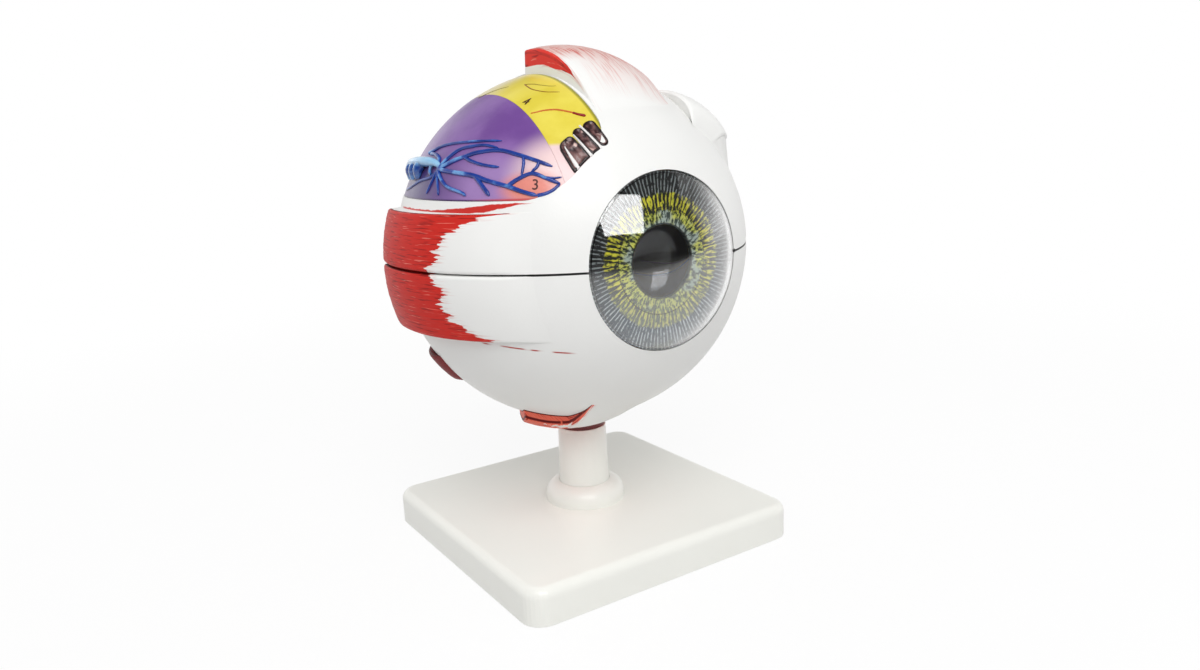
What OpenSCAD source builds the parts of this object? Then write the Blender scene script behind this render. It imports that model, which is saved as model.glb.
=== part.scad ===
// Take-apart model of a right human eye, six times life size, on a stand.
// The origin is on the table under the post, +Z is up, the eye looks along -Y,
// and -X is the temple side. The eye's own shapes are drawn round its centre.

/* [Base] */
// Width of the foot plate
base_w = 132; // [110:1:160]
// Depth of the foot plate
base_d = 132; // [110:1:160]
// Height of the foot plate
base_h = 15; // [13:0.5:20]
// Wall of the hollow foot plate
base_wall = 3; // [2:0.5:4]
// Radius of the plate's upright corners
base_corner_r = 9; // [7:0.5:14]
// Radius of the plate's top edge
base_edge_r = 4; // [2:0.5:6]
// Thickness of the ribs under the plate
rib_t = 2.4; // [1.6:0.2:4]
// Height that the ribs stay above the table
rib_lift = 1; // [0.5:0.5:3]
// Width of the rounded collar round the post, beyond the socket
collar_w = 6.4; // [5:0.2:8]
// Height of the collar's round edge above its rim
collar_rim = 2; // [1:0.5:4]
// Thickness of the socket's floor, over the table
socket_floor = 7; // [6:0.5:9]

/* [Post] */
// Visible height of the post, from the plate to its top
post_h = 34.4; // [28:0.2:60]
// Radius of the post at its foot
post_foot_r = 11.4; // [10.5:0.1:13]
// Radius of the post at its top
post_top_r = 10.7; // [10.4:0.1:12]
// Radial gap between the post and its socket
post_gap = 0.15; // [0.1:0.05:0.3]
// Thickness of the post's closed bottom
post_web = 10; // [8:0.5:14]
// Height of the red neck between the post and the white shell
neck_h = 6.6; // [5:0.2:10]
// Radius of the red neck
neck_r = 10.2; // [9.5:0.1:10.4]
// Radius of the turning plug in the post
plug_r = 8.9; // [7.5:0.1:9.2]
// Length of the turning plug
plug_len = 15; // [10:0.5:18]
// Radial running gap of the plug
plug_gap = 0.05; // [0.03:0.01:0.09]

/* [Screws] */
// Distance between the two screws in the foot
base_screw_span = 12; // [11:0.5:13]
// Shank radius of the foot screws
base_screw_r = 1.5; // [1.2:0.1:2]
// Shank length of the foot screws
base_screw_len = 10; // [7:0.5:11]
// Shank radius of the stem screw
stem_screw_r = 2.5; // [2:0.1:3]
// Shank length of the stem screw
stem_screw_len = 16; // [12:0.5:18]
// Thickness of the washers
washer_t = 0.8; // [0.5:0.1:1.2]
// Gap round a screw's shank
shank_gap = 0.05; // [0.02:0.01:0.1]

/* [Shells] */
// Outer radius of the white shell
eye_r = 74; // [70:0.5:80]
// Wall of the white shell
sclera_wall = 2.4; // [2:0.1:3.5]
// Gap between one nested shell and the next
shell_gap = 0.3; // [0.25:0.05:0.5]
// Wall of the vascular coat
choroid_wall = 2; // [1.5:0.1:3]
// Wall of the yellow inner coat
retina_wall = 1.2; // [1:0.1:2]
// Glue line between bonded pieces
bond = 0.03; // [0.02:0.01:0.06]
// Radius of the front opening in the white shell
front_r = 34; // [31:0.25:36]
// Half width of the dark groove along the parting line
seam_half = 0.3; // [0.2:0.05:0.5]
// Depth of that groove
seam_deep = 0.9; // [0.5:0.1:1.4]
// Radius of the small notch on the parting line beside the cornea
notch_r = 0.9; // [0.5:0.1:1.2]

/* [Window] */
// Height of the window's lower edge above the parting line
window_low = 26; // [22:0.5:32]
// Distance of the window's upper edge from the middle plane
window_side = 16; // [12:0.5:22]
// Reach of the window towards the front
window_front = 57; // [48:0.5:59]
// Reach of the window towards the back
window_back = 44; // [30:1:50]
// Radius of the window's corners
window_corner = 9; // [5:0.5:12]
// How far the window's panels lie below the white surface
window_sink = 0.3; // [0.1:0.1:1]
// Distance of the yellow panel's lower edge from the middle plane
yellow_side = 36; // [28:0.5:42]
// Gap round the window's panels
panel_gap = 0.1; // [0.05:0.05:0.3]

/* [Window details] */
// Height of the dark comb over the panels
comb_h = 0.6; // [0.3:0.1:1.2]
// Angle of the comb's front edge from the line of sight
comb_front_angle = 40.3; // [39.5:0.1:43]
// Angle of the comb's back edge from the line of sight
comb_back_angle = 49.5; // [46:0.5:54]
// Angle that a white stripe between two of the comb's lobes takes up
comb_stripe_angle = 1.7; // [1:0.1:3]
// Height of the blue veins over the panels
vein_h = 0.9; // [0.5:0.1:1.4]
// Half width of the blue veins
vein_w = 0.9; // [0.5:0.1:1.4]
// Radius of the thick vein's tube
trunk_r = 2.2; // [1.6:0.1:3]
// Height of the thick vein over the panels
trunk_h = 4; // [3:0.25:6]
// Radius of the thick vein's bow
trunk_bow = 22; // [14:1:30]

/* [Muscles] */
// Rise of the side muscles at their cut end
side_rise = 6.5; // [4:0.5:8]
// Half height of the side muscles below the parting line
side_low = 26; // [20:1:30]
// Half height of the side muscles above the parting line
side_high = 22; // [16:0.5:24]
// Distance of the side muscles' cut behind the middle of the eye
side_back = 24; // [16:1:34]
// Rise of the upper straight muscle at its cut end
top_rise = 9.5; // [6:0.5:11]
// Rise of the lower straight muscle at its cut end
low_rise = 6.5; // [4:0.5:8]
// Rise of the upper slanting muscle's blunt end
high_oblique_rise = 7; // [4:0.5:9]
// Rise of the lower slanting muscle
low_oblique_rise = 7; // [4:0.5:9]
// Radius of the steel pins on the parting line
pin_r = 1.2; // [0.8:0.1:1.5]
// Length of the steel pins
pin_len = 10; // [7:0.5:14]
// Radial gap round the pins in the upper half
pin_gap = 0.15; // [0.1:0.05:0.3]

/* [Optic nerve] */
// Outer radius of the nerve's sheath
sheath_r = 10.5; // [9:0.1:12]
// Wall of the nerve's sheath
sheath_wall = 2.1; // [1.5:0.1:3]
// Length of the sheath beyond the white shell
sheath_len = 15; // [8:0.5:30]
// How much wider the sheath grows where it meets the white shell
sheath_flare = 4; // [2:0.5:6]
// Length over which it grows wider
sheath_flare_len = 4; // [2:0.5:7]
// Length of the nerve beyond its sheath
nerve_proud = 3; // [1:0.5:6]
// Radius of the central artery
artery_r = 1.3; // [0.8:0.1:1.6]
// Radius of the central vein
nerve_vein_r = 1.5; // [0.8:0.1:1.8]

/* [Front parts] */
// Wall of the hollow clear vitreous body
vitreous_wall = 2; // [1.5:0.1:3]
// Outer radius of the cornea's dome
cornea_dome_r = 47; // [42:0.5:60]
// Wall of the cornea
cornea_wall = 1.5; // [1:0.1:2.5]
// Depth of the cornea's skirt
skirt_h = 1.6; // [1:0.1:2]
// Thickness of the iris disc
iris_t = 1.5; // [1:0.1:2]
// Radius of the pupil
pupil_r = 13.7; // [8:0.1:18]
// Depth of the ciliary ring
ciliary_t = 7.8; // [6:0.1:9]
// Inner radius of the ciliary ring
ciliary_r = 27.4; // [27:0.1:29]
// Number of folds on the ciliary ring
ciliary_folds = 36; // [24:1:60]
// Radius of the lens
lens_r = 24.5; // [20:0.1:25]
// Radius of the lens's front face
lens_front_r = 52; // [40:1:70]
// Radius of the lens's back face
lens_back_r = 31; // [28:0.5:36]
// Thickness of the lens at its edge
lens_edge = 1.2; // [0.8:0.1:2]
// Width of the ring of threads round the lens
zonule_w = 2.2; // [1.5:0.1:2.3]

/* [Hidden] */
$fn = 96;
far = 200;                                   // longer than any piece
eps = 0.01;

eye_z = base_h + post_h + neck_h + eye_r;    // height of the eyeball's centre
sclera_in = eye_r - sclera_wall;
choroid_out = sclera_in - shell_gap;
choroid_in = choroid_out - choroid_wall;
retina_out = choroid_in - bond;
retina_in = retina_out - retina_wall;
vitreous_r = retina_in - shell_gap;
panel_out = eye_r - window_sink;
inner_front_r = front_r + 0.2;               // front opening of the inner coats

// foot
socket_r = post_foot_r + post_gap;
collar_r = socket_r + collar_w;
collar_top = base_h + collar_rim + collar_w;
post_top = base_h + post_h;
post_bore_r = plug_r + plug_gap;
hole_gap = 0.2;                              // round a screw that only passes through
screw_head_r = 2 * base_screw_r + 0.2;
screw_head_h = 1.6 * base_screw_r;
head_sink = 0.4;                             // depth of the screw heads above the table
head_pocket_r = screw_head_r + 0.6;
head_pocket_h = screw_head_h + washer_t + head_sink;
base_washer_r = head_pocket_r - hole_gap;

// stem
stem_head_r = 1.7 * stem_screw_r;
stem_head_h = 1.1 * stem_screw_r;
stem_boss_r = stem_head_r + 3.6;
stem_boss_top = -(sclera_in - 1);            // flat seat for the stem washer
stem_washer_r = stem_boss_r - 0.8;
stem_well_r = stem_boss_r + 1.4;             // opening in the coats over the stem screw
stem_well_top = stem_boss_top + washer_t + stem_head_h + 0.8;
plug_lead = 1;                               // tapered end of the turning plug
neck_bottom = -(eye_r + neck_h);

// front stack, distances along Y from the eyeball's centre
rim_y = -sqrt(pow(eye_r, 2) - pow(front_r, 2));
cornea_rim_r = front_r - 0.3;
cornea_y = rim_y + sqrt(pow(cornea_dome_r, 2) - pow(cornea_rim_r, 2));
iris_y = rim_y + skirt_h + 0.1;
iris_r = cornea_rim_r - 0.1;
ciliary_y = iris_y + iris_t;
ciliary_out = iris_r - 0.3;
ciliary_end = ciliary_y + ciliary_t;
vitreous_front = ciliary_end + shell_gap;
lens_y = vitreous_front + 1;                 // plane of the lens's equator
lens_front_y = lens_y - lens_edge / 2 + sqrt(pow(lens_front_r, 2) - pow(lens_r, 2));
lens_back_y = lens_y + lens_edge / 2 - sqrt(pow(lens_back_r, 2) - pow(lens_r, 2));
zonule_in = lens_r + bond;
zonule_out = zonule_in + zonule_w;
zonule_t = 0.9;

// muscles: direction of the thickest point, and the angle over which the rise dies out
lateral_dir = [-0.93, 0.3, -0.2];
medial_dir = [0.93, 0.3, -0.1];
lateral_fade = 69;
medial_fade = 62;
top_dir = [-0.07, 0.04, 1];
top_fade = 48;
low_dir = [-0.26, -0.06, -0.97];
low_fade = 36;
high_oblique_dir = [0.6, -0.5, 0.63];
high_oblique_fade = 32;
low_oblique_dir = [-0.8, 0.22, -0.56];
low_oblique_fade = 26;
muscle_floor = eye_r + bond;

// outlines of the upper and lower muscles seen from above, as shares of the eye's radius
superior_outline = eye_r * [[-0.23, 0.05], [-0.19, -0.72], [0.22, -0.72], [0.34, -0.46], [0.38, 0.05]];
superior_oblique_outline = eye_r * [[0.42, -0.69], [0.45, -0.38], [0.41, -0.11], [0.41, 0.08],
                                    [0.65, 0.08], [0.77, -0.24], [0.74, -0.54], [0.62, -0.65]];
superior_oblique_low = 0.55 * eye_r;         // height of its lower end above the parting line
inferior_outline = eye_r * [[-0.5, -0.2], [-0.3, -0.35], [-0.27, -0.61], [0.16, -0.61], [0.2, 0.16], [-0.46, 0.16]];
inferior_oblique_corner = eye_r * [-1.08, 0.08, -0.76];
inferior_oblique_size = eye_r * [0.81, 0.41, 0.22];

side_pin_x = eye_r + 0.43 * side_rise;
side_pin_y = 0.55 * side_back;
pin_half = 0.6 * pin_len;                    // part of a pin below the parting line

// optic nerve
nerve_r = sheath_r - sheath_wall - bond;
nerve_dir = [0.24, 0.95, -0.2];
sheath_end = eye_r + sheath_len;
nerve_end = sheath_end + nerve_proud;
flare_root = 6;                              // start of the sheath's flare, under the white surface
vessel_proud = 1.5;                          // artery and vein beyond the nerve
vessel_x = 3.2;                              // their distance from the nerve's axis

// window details
comb_lobe_angles = [[13, 24.5], [24.5, 31], [31, 36.5], [36.5, 40.5]];
trunk_dir = [-61, 13, 36];
trunk_back = 14;                             // half the length between the trunk's feet
vein_lift = 0.12;                            // keeps the straight runs of the veins above the round panel
vein_steps = 2;                              // runs between two of a vein's places

// Blue veins on the window, each a list of places given as
// [degrees from the line of sight towards the temple, degrees above the parting line]
star = [84.5, 30.5];                         // where they meet, in front of the thick vein
main_high = [star, [78, 36], [71, 38], [61, 38], [53, 37], [46, 35], [43, 34], [38, 32]];
high_a = [star, [85.5, 34.5], [87, 37], [82, 41], [74, 41], [60, 41]];
high_b = [star, [78, 38.5], [71, 40], [62, 39], [54, 37]];
side_twig = [[72, 37], [69, 34], [64, 33], [58, 32.5]];
main_low = [star, [79, 30], [74, 30], [64, 29], [55, 27], [48, 24.5], [42, 22.4]];
branch_a = [star, [82, 28.5], [77, 26], [70, 23], [67, 22.3]];
branch_b = [[64, 29], [61, 26], [58, 22.5]];
ray_a = [star, [87, 27], [87, 22.4]];
ray_b = [star, [84, 27], [80, 22.3]];
ray_c = [star, [87, 27.2], [95, 25.5], [104, 23.5], [110, 22.6]];
loop_high = [[54, 27], [48, 28.3], [43, 30], [38, 27.3], [34.5, 25.3]];
loop_low = [[42, 22.4], [38, 23.2], [34.5, 25.3]];
rung_a = [[46, 35], [45.5, 32], [44, 30]];
rung_b = [[38.5, 32], [41, 29.4]];
twig = [[38.5, 28.2], [35, 27.6], [32.5, 27.5]];
VEINS = [main_high, high_a, high_b, side_twig, main_low, branch_a, branch_b, ray_a, ray_b, ray_c,
         loop_high, loop_low, rung_a, rung_b, twig];

// ---------- shared shapes ----------

function unit(v) = v / norm(v);
// Unit vector of a place given in degrees [towards the temple, up]
function place(a) = [-sin(a[0]) * cos(a[1]), -cos(a[0]) * cos(a[1]), sin(a[1])];

module at_eye() translate([0, 0, eye_z]) children();

// Turns +Z onto a direction
module along(dir) {
    u = unit(dir);
    rotate([0, acos(u[2]), atan2(u[1], u[0])]) children();
}

// A cylinder whose axis runs along Y
module y_cylinder(r, from_y, to_y) {
    translate([0, from_y, 0]) rotate([-90, 0, 0]) cylinder(r = r, h = to_y - from_y);
}

module upper_half() translate([-far, -far, 0]) cube([2 * far, 2 * far, far]);
module lower_half() translate([-far, -far, -far]) cube([2 * far, 2 * far, far]);

module rounded_rect(w, d, r) {
    square([w - 2 * r, d], center = true);
    square([w, d - 2 * r], center = true);
    for (x = [-1, 1], y = [-1, 1]) translate([x * (w / 2 - r), y * (d / 2 - r)]) circle(r = r);
}

// A hollow ball with the round opening at its front
module coat(outer, inner, opening) {
    difference() {
        sphere(r = outer);
        sphere(r = inner);
        y_cylinder(opening, -far, 0);
    }
}

// ---------- stand ----------

module corner_post() {
    rotate_extrude($fn = 32) {
        square([base_corner_r - base_edge_r, base_h]);
        square([base_corner_r, base_h - base_edge_r]);
        translate([base_corner_r - base_edge_r, base_h - base_edge_r])
            intersection() {
                circle(r = base_edge_r);
                square(base_edge_r);
            }
    }
}

module foot_slab() {
    hull() for (x = [-1, 1], y = [-1, 1])
        translate([x * (base_w / 2 - base_corner_r), y * (base_d / 2 - base_corner_r), 0]) corner_post();
}

module foot_hollow() {
    ribs = [0, 90];
    difference() {
        translate([0, 0, -eps]) linear_extrude(base_h - base_wall + eps)
            rounded_rect(base_w - 2 * base_wall, base_d - 2 * base_wall, base_corner_r - base_wall / 2);
        translate([0, 0, -2 * eps]) cylinder(r = collar_r, h = base_h);
        for (a = ribs) rotate([0, 0, a]) translate([-far / 2, -rib_t / 2, rib_lift]) cube([far, rib_t, base_h]);
    }
}

module collar() {
    translate([0, 0, base_h]) rotate_extrude() {
        translate([socket_r - eps, -eps]) square([collar_w, collar_rim + eps]);
        translate([socket_r - eps, collar_rim]) intersection() {
            circle(r = collar_w);
            square(collar_w);
        }
    }
}

module at_base_screws() for (x = [-1, 1]) translate([x * base_screw_span / 2, 0, 0]) children();

module base_plate() color("ghostwhite") difference() {
    union() {
        foot_slab();
        collar();
    }
    foot_hollow();
    translate([0, 0, socket_floor]) cylinder(r = socket_r, h = far);
    at_base_screws() {
        translate([0, 0, -eps]) cylinder(r = base_screw_r + hole_gap, h = far);
        translate([0, 0, -eps]) cylinder(r = head_pocket_r, h = head_pocket_h + eps);
    }
}

module post() color("ghostwhite") difference() {
    union() {
        translate([0, 0, socket_floor]) cylinder(r = post_foot_r, h = collar_top - socket_floor);
        translate([0, 0, collar_top]) cylinder(r1 = post_foot_r, r2 = post_top_r, h = post_top - collar_top);
    }
    translate([0, 0, socket_floor + post_web]) cylinder(r = post_bore_r, h = far);
    at_base_screws() translate([0, 0, socket_floor - eps])
        cylinder(r = base_screw_r + shank_gap, h = base_screw_len - 1);
}

module pan_screw(shank_r, shank_len, head_r, head_h) {
    difference() {
        union() {
            translate([0, 0, -head_h]) cylinder(r = head_r, h = head_h);
            cylinder(r = shank_r, h = shank_len);
        }
        for (a = [0, 90]) rotate([0, 0, a])
            translate([-head_r * 0.6, -head_r * 0.12, -head_h - eps]) cube([head_r * 1.2, head_r * 0.24, head_h * 0.5]);
    }
}

module ring(outer, inner, h) difference() {
    cylinder(r = outer, h = h);
    translate([0, 0, -eps]) cylinder(r = inner, h = h + 2 * eps);
}

module base_screws() color("silver") at_base_screws()
    translate([0, 0, head_pocket_h - washer_t])
        pan_screw(base_screw_r, base_screw_len, screw_head_r, screw_head_h);

module base_washers() color("gainsboro") at_base_screws()
    translate([0, 0, head_pocket_h - washer_t])
        ring(base_washer_r, base_screw_r + shank_gap, washer_t);

// ---------- lower half of the white shell ----------

module seam_groove() {
    rotate_extrude() translate([eye_r - seam_deep, -seam_half]) square([far, 2 * seam_half]);
}

// Small round notch on the parting line at the nose side of the cornea
module rim_notch() {
    notch_angle = asin(front_r / eye_r) + 0.6;
    rotate([0, 0, notch_angle]) y_cylinder(notch_r, -far, -sclera_in - 1);
}

module lower_sclera() color("white") at_eye() difference() {
    union() {
        intersection() {
            coat(eye_r, sclera_in, front_r);
            lower_half();
        }
        difference() {
            translate([0, 0, -eye_r + 1]) cylinder(r = stem_boss_r, h = stem_boss_top + eye_r - 1);
            translate([0, 0, -far]) cylinder(r = stem_boss_r + 1, h = far - eye_r + 0.5);
        }
    }
    seam_groove();
    rim_notch();
    translate([0, 0, -far]) cylinder(r = stem_screw_r + hole_gap, h = far);
}

module stem_plug() color("maroon") at_eye() difference() {
    union() {
        translate([0, 0, neck_bottom]) cylinder(r = neck_r, h = neck_h + 2);
        translate([0, 0, neck_bottom - plug_len + plug_lead]) cylinder(r = plug_r, h = plug_len);
        translate([0, 0, neck_bottom - plug_len]) cylinder(r1 = plug_r - plug_lead, r2 = plug_r, h = plug_lead);
    }
    sphere(r = muscle_floor);
    translate([0, 0, neck_bottom + neck_h - stem_screw_len]) cylinder(r = stem_screw_r + shank_gap, h = far);
}

module stem_washer() color("gainsboro") at_eye()
    translate([0, 0, stem_boss_top]) ring(stem_washer_r, stem_screw_r + shank_gap, washer_t);

module stem_screw() color("silver") at_eye()
    translate([0, 0, stem_boss_top + washer_t]) rotate([180, 0, 0])
        pan_screw(stem_screw_r, stem_screw_len, stem_head_r, stem_head_h);

module at_pins() for (x = [-1, 1]) translate([x * sqrt(pow(side_pin_x, 2) - pow(side_pin_y, 2)), side_pin_y, 0])
    children();

module locating_pins() color("dimgray") at_eye() at_pins()
    translate([0, 0, -pin_half]) cylinder(r = pin_r, h = pin_len);

// ---------- muscles ----------

// A ball that stands `rise` proud of the shell in one direction and dives under it
// `fade` degrees away
module swelling(dir, rise, fade) {
    shift = rise / (1 - cos(fade));
    translate(unit(dir) * shift) sphere(r = eye_r + rise - shift);
}

// The part of a swelling over the shell that lies within the children's outline
module muscle(dir, rise, fade) difference() {
    intersection() {
        swelling(dir, rise, fade);
        children();
    }
    sphere(r = muscle_floor);
}

// Outline of a side muscle between two heights, blunt at the back, cut where the tendon runs out
module side_outline(side, low, high, front) {
    translate([side > 0 ? 0 : -far, -front, low]) cube([far, front + side_back, high - low]);
}

lateral_front = eye_r * cos(41);
medial_front = eye_r * cos(49);

module pin_holes(gap) at_pins() translate([0, 0, -pin_half]) cylinder(r = pin_r + gap, h = pin_len + 1);

module side_muscle(side, low, high, gap) {
    lateral = side < 0;
    difference() {
        muscle(lateral ? lateral_dir : medial_dir, side_rise, lateral ? lateral_fade : medial_fade)
            side_outline(side, low, high, lateral ? lateral_front : medial_front);
        pin_holes(gap);
    }
}

module lateral_rectus_lower() color("firebrick") at_eye() side_muscle(-1, -side_low, -seam_half, bond);
module lateral_rectus_upper() color("firebrick") at_eye() side_muscle(-1, seam_half, side_high, pin_gap);
module medial_rectus_lower() color("firebrick") at_eye() side_muscle(1, -side_low, -seam_half, bond);
module medial_rectus_upper() color("firebrick") at_eye() side_muscle(1, seam_half, side_high, pin_gap);

module prism(points) linear_extrude(far) polygon(points);

module superior_rectus() color("firebrick") at_eye()
    muscle(top_dir, top_rise, top_fade) prism(superior_outline);

module superior_oblique() color("whitesmoke") at_eye()
    muscle(high_oblique_dir, high_oblique_rise, high_oblique_fade)
        translate([0, 0, superior_oblique_low]) prism(superior_oblique_outline);

module inferior_rectus() color("firebrick") at_eye() difference() {
    muscle(low_dir, low_rise, low_fade)
        mirror([0, 0, 1]) prism(inferior_outline);
    translate([0, 0, -far]) cylinder(r = neck_r + hole_gap, h = far);
}

module inferior_oblique() color("firebrick") at_eye()
    muscle(low_oblique_dir, low_oblique_rise, low_oblique_fade)
        translate(inferior_oblique_corner) cube(inferior_oblique_size);

// ---------- optic nerve ----------

module at_nerve_vessel(side) along(nerve_dir) translate([side * vessel_x, 0, 0]) children();

module optic_nerve_sheath() color("wheat") at_eye() difference() {
    along(nerve_dir) difference() {
        union() {
            cylinder(r = sheath_r, h = sheath_end);
            translate([0, 0, eye_r - flare_root])
                cylinder(r1 = sheath_r + sheath_flare, r2 = sheath_r, h = flare_root + sheath_flare_len);
        }
        cylinder(r = sheath_r - sheath_wall, h = far);
    }
    sphere(r = muscle_floor);
}

module optic_nerve() color("khaki") at_eye() difference() {
    along(nerve_dir) cylinder(r = nerve_r, h = nerve_end);
    sphere(r = muscle_floor);
    at_nerve_vessel(-1) cylinder(r = artery_r + bond, h = far);
    at_nerve_vessel(1) cylinder(r = nerve_vein_r + bond, h = far);
}

module nerve_vessel(side, r) difference() {
    at_nerve_vessel(side) cylinder(r = r, h = nerve_end + vessel_proud);
    sphere(r = muscle_floor);
}

module central_retinal_artery() color("red") at_eye() nerve_vessel(-1, artery_r);
module central_retinal_vein() color("blue") at_eye() nerve_vessel(1, nerve_vein_r);

// ---------- upper half of the white shell and its window ----------

// Column over the window; `grow` makes it larger than the hole all round
module window_column(grow) {
    long = window_front + window_back;
    intersection() {
        translate([-window_side - far / 2, (window_back - window_front) / 2, 0]) linear_extrude(far)
            rounded_rect(far + 2 * grow, long + 2 * grow, window_corner);
        translate([0, (window_back - window_front) / 2, window_low + far / 2]) rotate([90, 0, -90])
            linear_extrude(far) rounded_rect(long + 2 * grow, far + 2 * grow, window_corner);
    }
}

module upper_sclera() color("white") at_eye() difference() {
    intersection() {
        coat(eye_r, sclera_in, front_r);
        upper_half();
    }
    window_column(0);
    seam_groove();
    rim_notch();
}

module window_panel() intersection() {
    difference() {
        sphere(r = panel_out);
        sphere(r = sclera_in);
    }
    window_column(-panel_gap);
}

module choroid_panel() color("mediumpurple") at_eye() intersection() {
    window_panel();
    translate([-far - yellow_side - panel_gap / 2, -far, 0]) cube([far, 2 * far, far]);
}

module retina_panel() color("gold") at_eye() intersection() {
    window_panel();
    translate([-yellow_side + panel_gap / 2, -far, 0]) cube([far, 2 * far, far]);
}

// Wedge between two angles from the line of sight, swept round it
module sight_wedge(near, away, from, to) {
    rotate([90, 0, 0]) rotate([0, 0, 90 + from]) rotate_extrude(angle = to - from)
        polygon([[0, 0], [far * sin(near), far * cos(near)], [far * sin(away), far * cos(away)]]);
}

module ciliary_comb() color("saddlebrown") at_eye() intersection() {
    difference() {
        sphere(r = panel_out + comb_h);
        sphere(r = panel_out + bond);
    }
    window_column(-panel_gap);
    for (lobe = comb_lobe_angles)
        sight_wedge(comb_front_angle, comb_back_angle,
                    lobe[0] + comb_stripe_angle / 2, lobe[1] - comb_stripe_angle / 2);
}

module vortex_vein_trunk() color("lightskyblue") at_eye() difference() {
    u = unit(trunk_dir);
    foot = panel_out + trunk_h - trunk_r;     // radius of the tube's axis at its top
    translate(u * (foot - trunk_bow)) along(u) rotate([0, 0, 180]) rotate([90, 0, 90])
        intersection() {
            rotate_extrude($fn = 200) translate([trunk_bow, 0]) circle(r = trunk_r, $fn = 48);
            translate([-trunk_back, 0, -far]) cube([2 * trunk_back, far, 2 * far]);
        }
    sphere(r = panel_out + bond, $fn = 200);
}

// Points of a vein: the places of its list, with extra ones on the arcs between them
function vein_dirs(list) = concat(
    [for (i = [0 : len(list) - 2], j = [0 : vein_steps - 1])
        unit(place(list[i]) * (1 - j / vein_steps) + place(list[i + 1]) * (j / vein_steps))],
    [place(list[len(list) - 1])]);

// A low ridge along those points, with a flat foot on the panel and a rounded back
module vein(list) {
    dirs = vein_dirs(list);
    n = len(dirs);
    foot = panel_out + vein_lift;
    section = [[-1, 0], [-0.8, 0.6], [0, 1], [0.8, 0.6], [1, 0]];
    m = len(section);
    points = [for (i = [0 : n - 1])
        let (u = dirs[i], t = unit(dirs[min(i + 1, n - 1)] - dirs[max(i - 1, 0)]), s = unit(cross(t, u)))
        for (c = section) u * (foot + c[1] * vein_h) + s * c[0] * vein_w];
    sides = [for (i = [0 : n - 2], j = [0 : m - 1])
        let (a = i * m + j, b = i * m + (j + 1) % m) each [[a, b + m, b], [a, a + m, b + m]]];
    polyhedron(points = points,
               faces = concat([[for (j = [0 : m - 1]) j]], [[for (j = [m - 1 : -1 : 0]) (n - 1) * m + j]], sides));
}

module vortex_veins() color("royalblue") at_eye() for (list = VEINS) vein(list);

// ---------- inner coats ----------

module inner_coat(outer, inner) difference() {
    coat(outer, inner, inner_front_r);
    translate([0, 0, -far]) cylinder(r = stem_well_r, h = far);
}

module upper_choroid() color("mediumpurple") at_eye() intersection() {
    inner_coat(choroid_out, choroid_in);
    upper_half();
}

module upper_retina() color("gold") at_eye() intersection() {
    inner_coat(retina_out, retina_in);
    upper_half();
}

module lower_choroid() color("mediumpurple") at_eye() intersection() {
    inner_coat(choroid_out, choroid_in);
    lower_half();
}

module lower_retina() color("gold") at_eye() intersection() {
    inner_coat(retina_out, retina_in);
    lower_half();
}

// ---------- clear parts and iris ----------

module lens_shape(grow) {
    intersection() {
        translate([0, lens_front_y, 0]) sphere(r = lens_front_r + grow);
        translate([0, lens_back_y, 0]) sphere(r = lens_back_r + grow);
        y_cylinder(lens_r + grow, -far, far);
    }
}

// The vitreous body's outside, or its hollow at a wall's depth
module vitreous_shape(depth) difference() {
    sphere(r = vitreous_r - depth);
    translate([-far, -far, -far]) cube([2 * far, far + vitreous_front + depth, 2 * far]);
    translate([0, lens_back_y, 0]) sphere(r = lens_back_r + shell_gap + depth);
    y_cylinder(zonule_out + shell_gap + depth, vitreous_front - 1, lens_y + zonule_t / 2 + shell_gap + depth);
    translate([0, 0, -far]) cylinder(r = stem_well_r + depth, h = far + stem_well_top + depth);
}

module vitreous_body() color("azure", 0.4) at_eye() difference() {
    vitreous_shape(0);
    vitreous_shape(vitreous_wall);
}

module lens() color("aliceblue", 0.5) at_eye() lens_shape(0);

module zonule() color("lavender") at_eye() difference() {
    y_cylinder(zonule_out, lens_y - zonule_t / 2, lens_y + zonule_t / 2);
    y_cylinder(zonule_in, lens_y - far, lens_y + far);
}

module iris() color("olivedrab") at_eye() difference() {
    y_cylinder(iris_r, iris_y, iris_y + iris_t);
    y_cylinder(pupil_r, iris_y - 1, iris_y + iris_t + 1);
}

module ciliary_ring() color("saddlebrown") at_eye() {
    fold = 0.5 * (ciliary_out - ciliary_r);
    difference() {
        y_cylinder(ciliary_out, ciliary_y + bond, ciliary_end);
        y_cylinder(ciliary_out - fold, ciliary_y - 1, ciliary_end + 1);
    }
    for (i = [0 : ciliary_folds - 1]) rotate([0, i * 360 / ciliary_folds, 0])
        translate([ciliary_r, ciliary_y + bond, -0.6]) cube([fold + 0.5, ciliary_t - 2, 1.2]);
}

// The dome runs into a straight skirt where the ball grows wider than the rim
module cornea_shape(depth) intersection() {
    translate([0, cornea_y, 0]) sphere(r = cornea_dome_r - depth);
    y_cylinder(cornea_rim_r - depth, -far, rim_y + skirt_h + depth);
}

module cornea() color("aliceblue", 0.3) at_eye() difference() {
    cornea_shape(0);
    cornea_shape(cornea_wall);
}

// ---------- nodes ----------

base_plate();
post();
base_screws();
base_washers();
lower_sclera();
stem_plug();
stem_screw();
stem_washer();
locating_pins();
lateral_rectus_lower();
medial_rectus_lower();
inferior_rectus();
inferior_oblique();
optic_nerve_sheath();
optic_nerve();
central_retinal_artery();
central_retinal_vein();
upper_sclera();
choroid_panel();
retina_panel();
ciliary_comb();
vortex_vein_trunk();
vortex_veins();
lateral_rectus_upper();
medial_rectus_upper();
superior_rectus();
superior_oblique();
upper_choroid();
upper_retina();
lower_choroid();
lower_retina();
vitreous_body();
lens();
zonule();
iris();
ciliary_ring();
cornea();
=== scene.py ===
import math

import bpy
from mathutils import Matrix, Vector, noise


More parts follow.
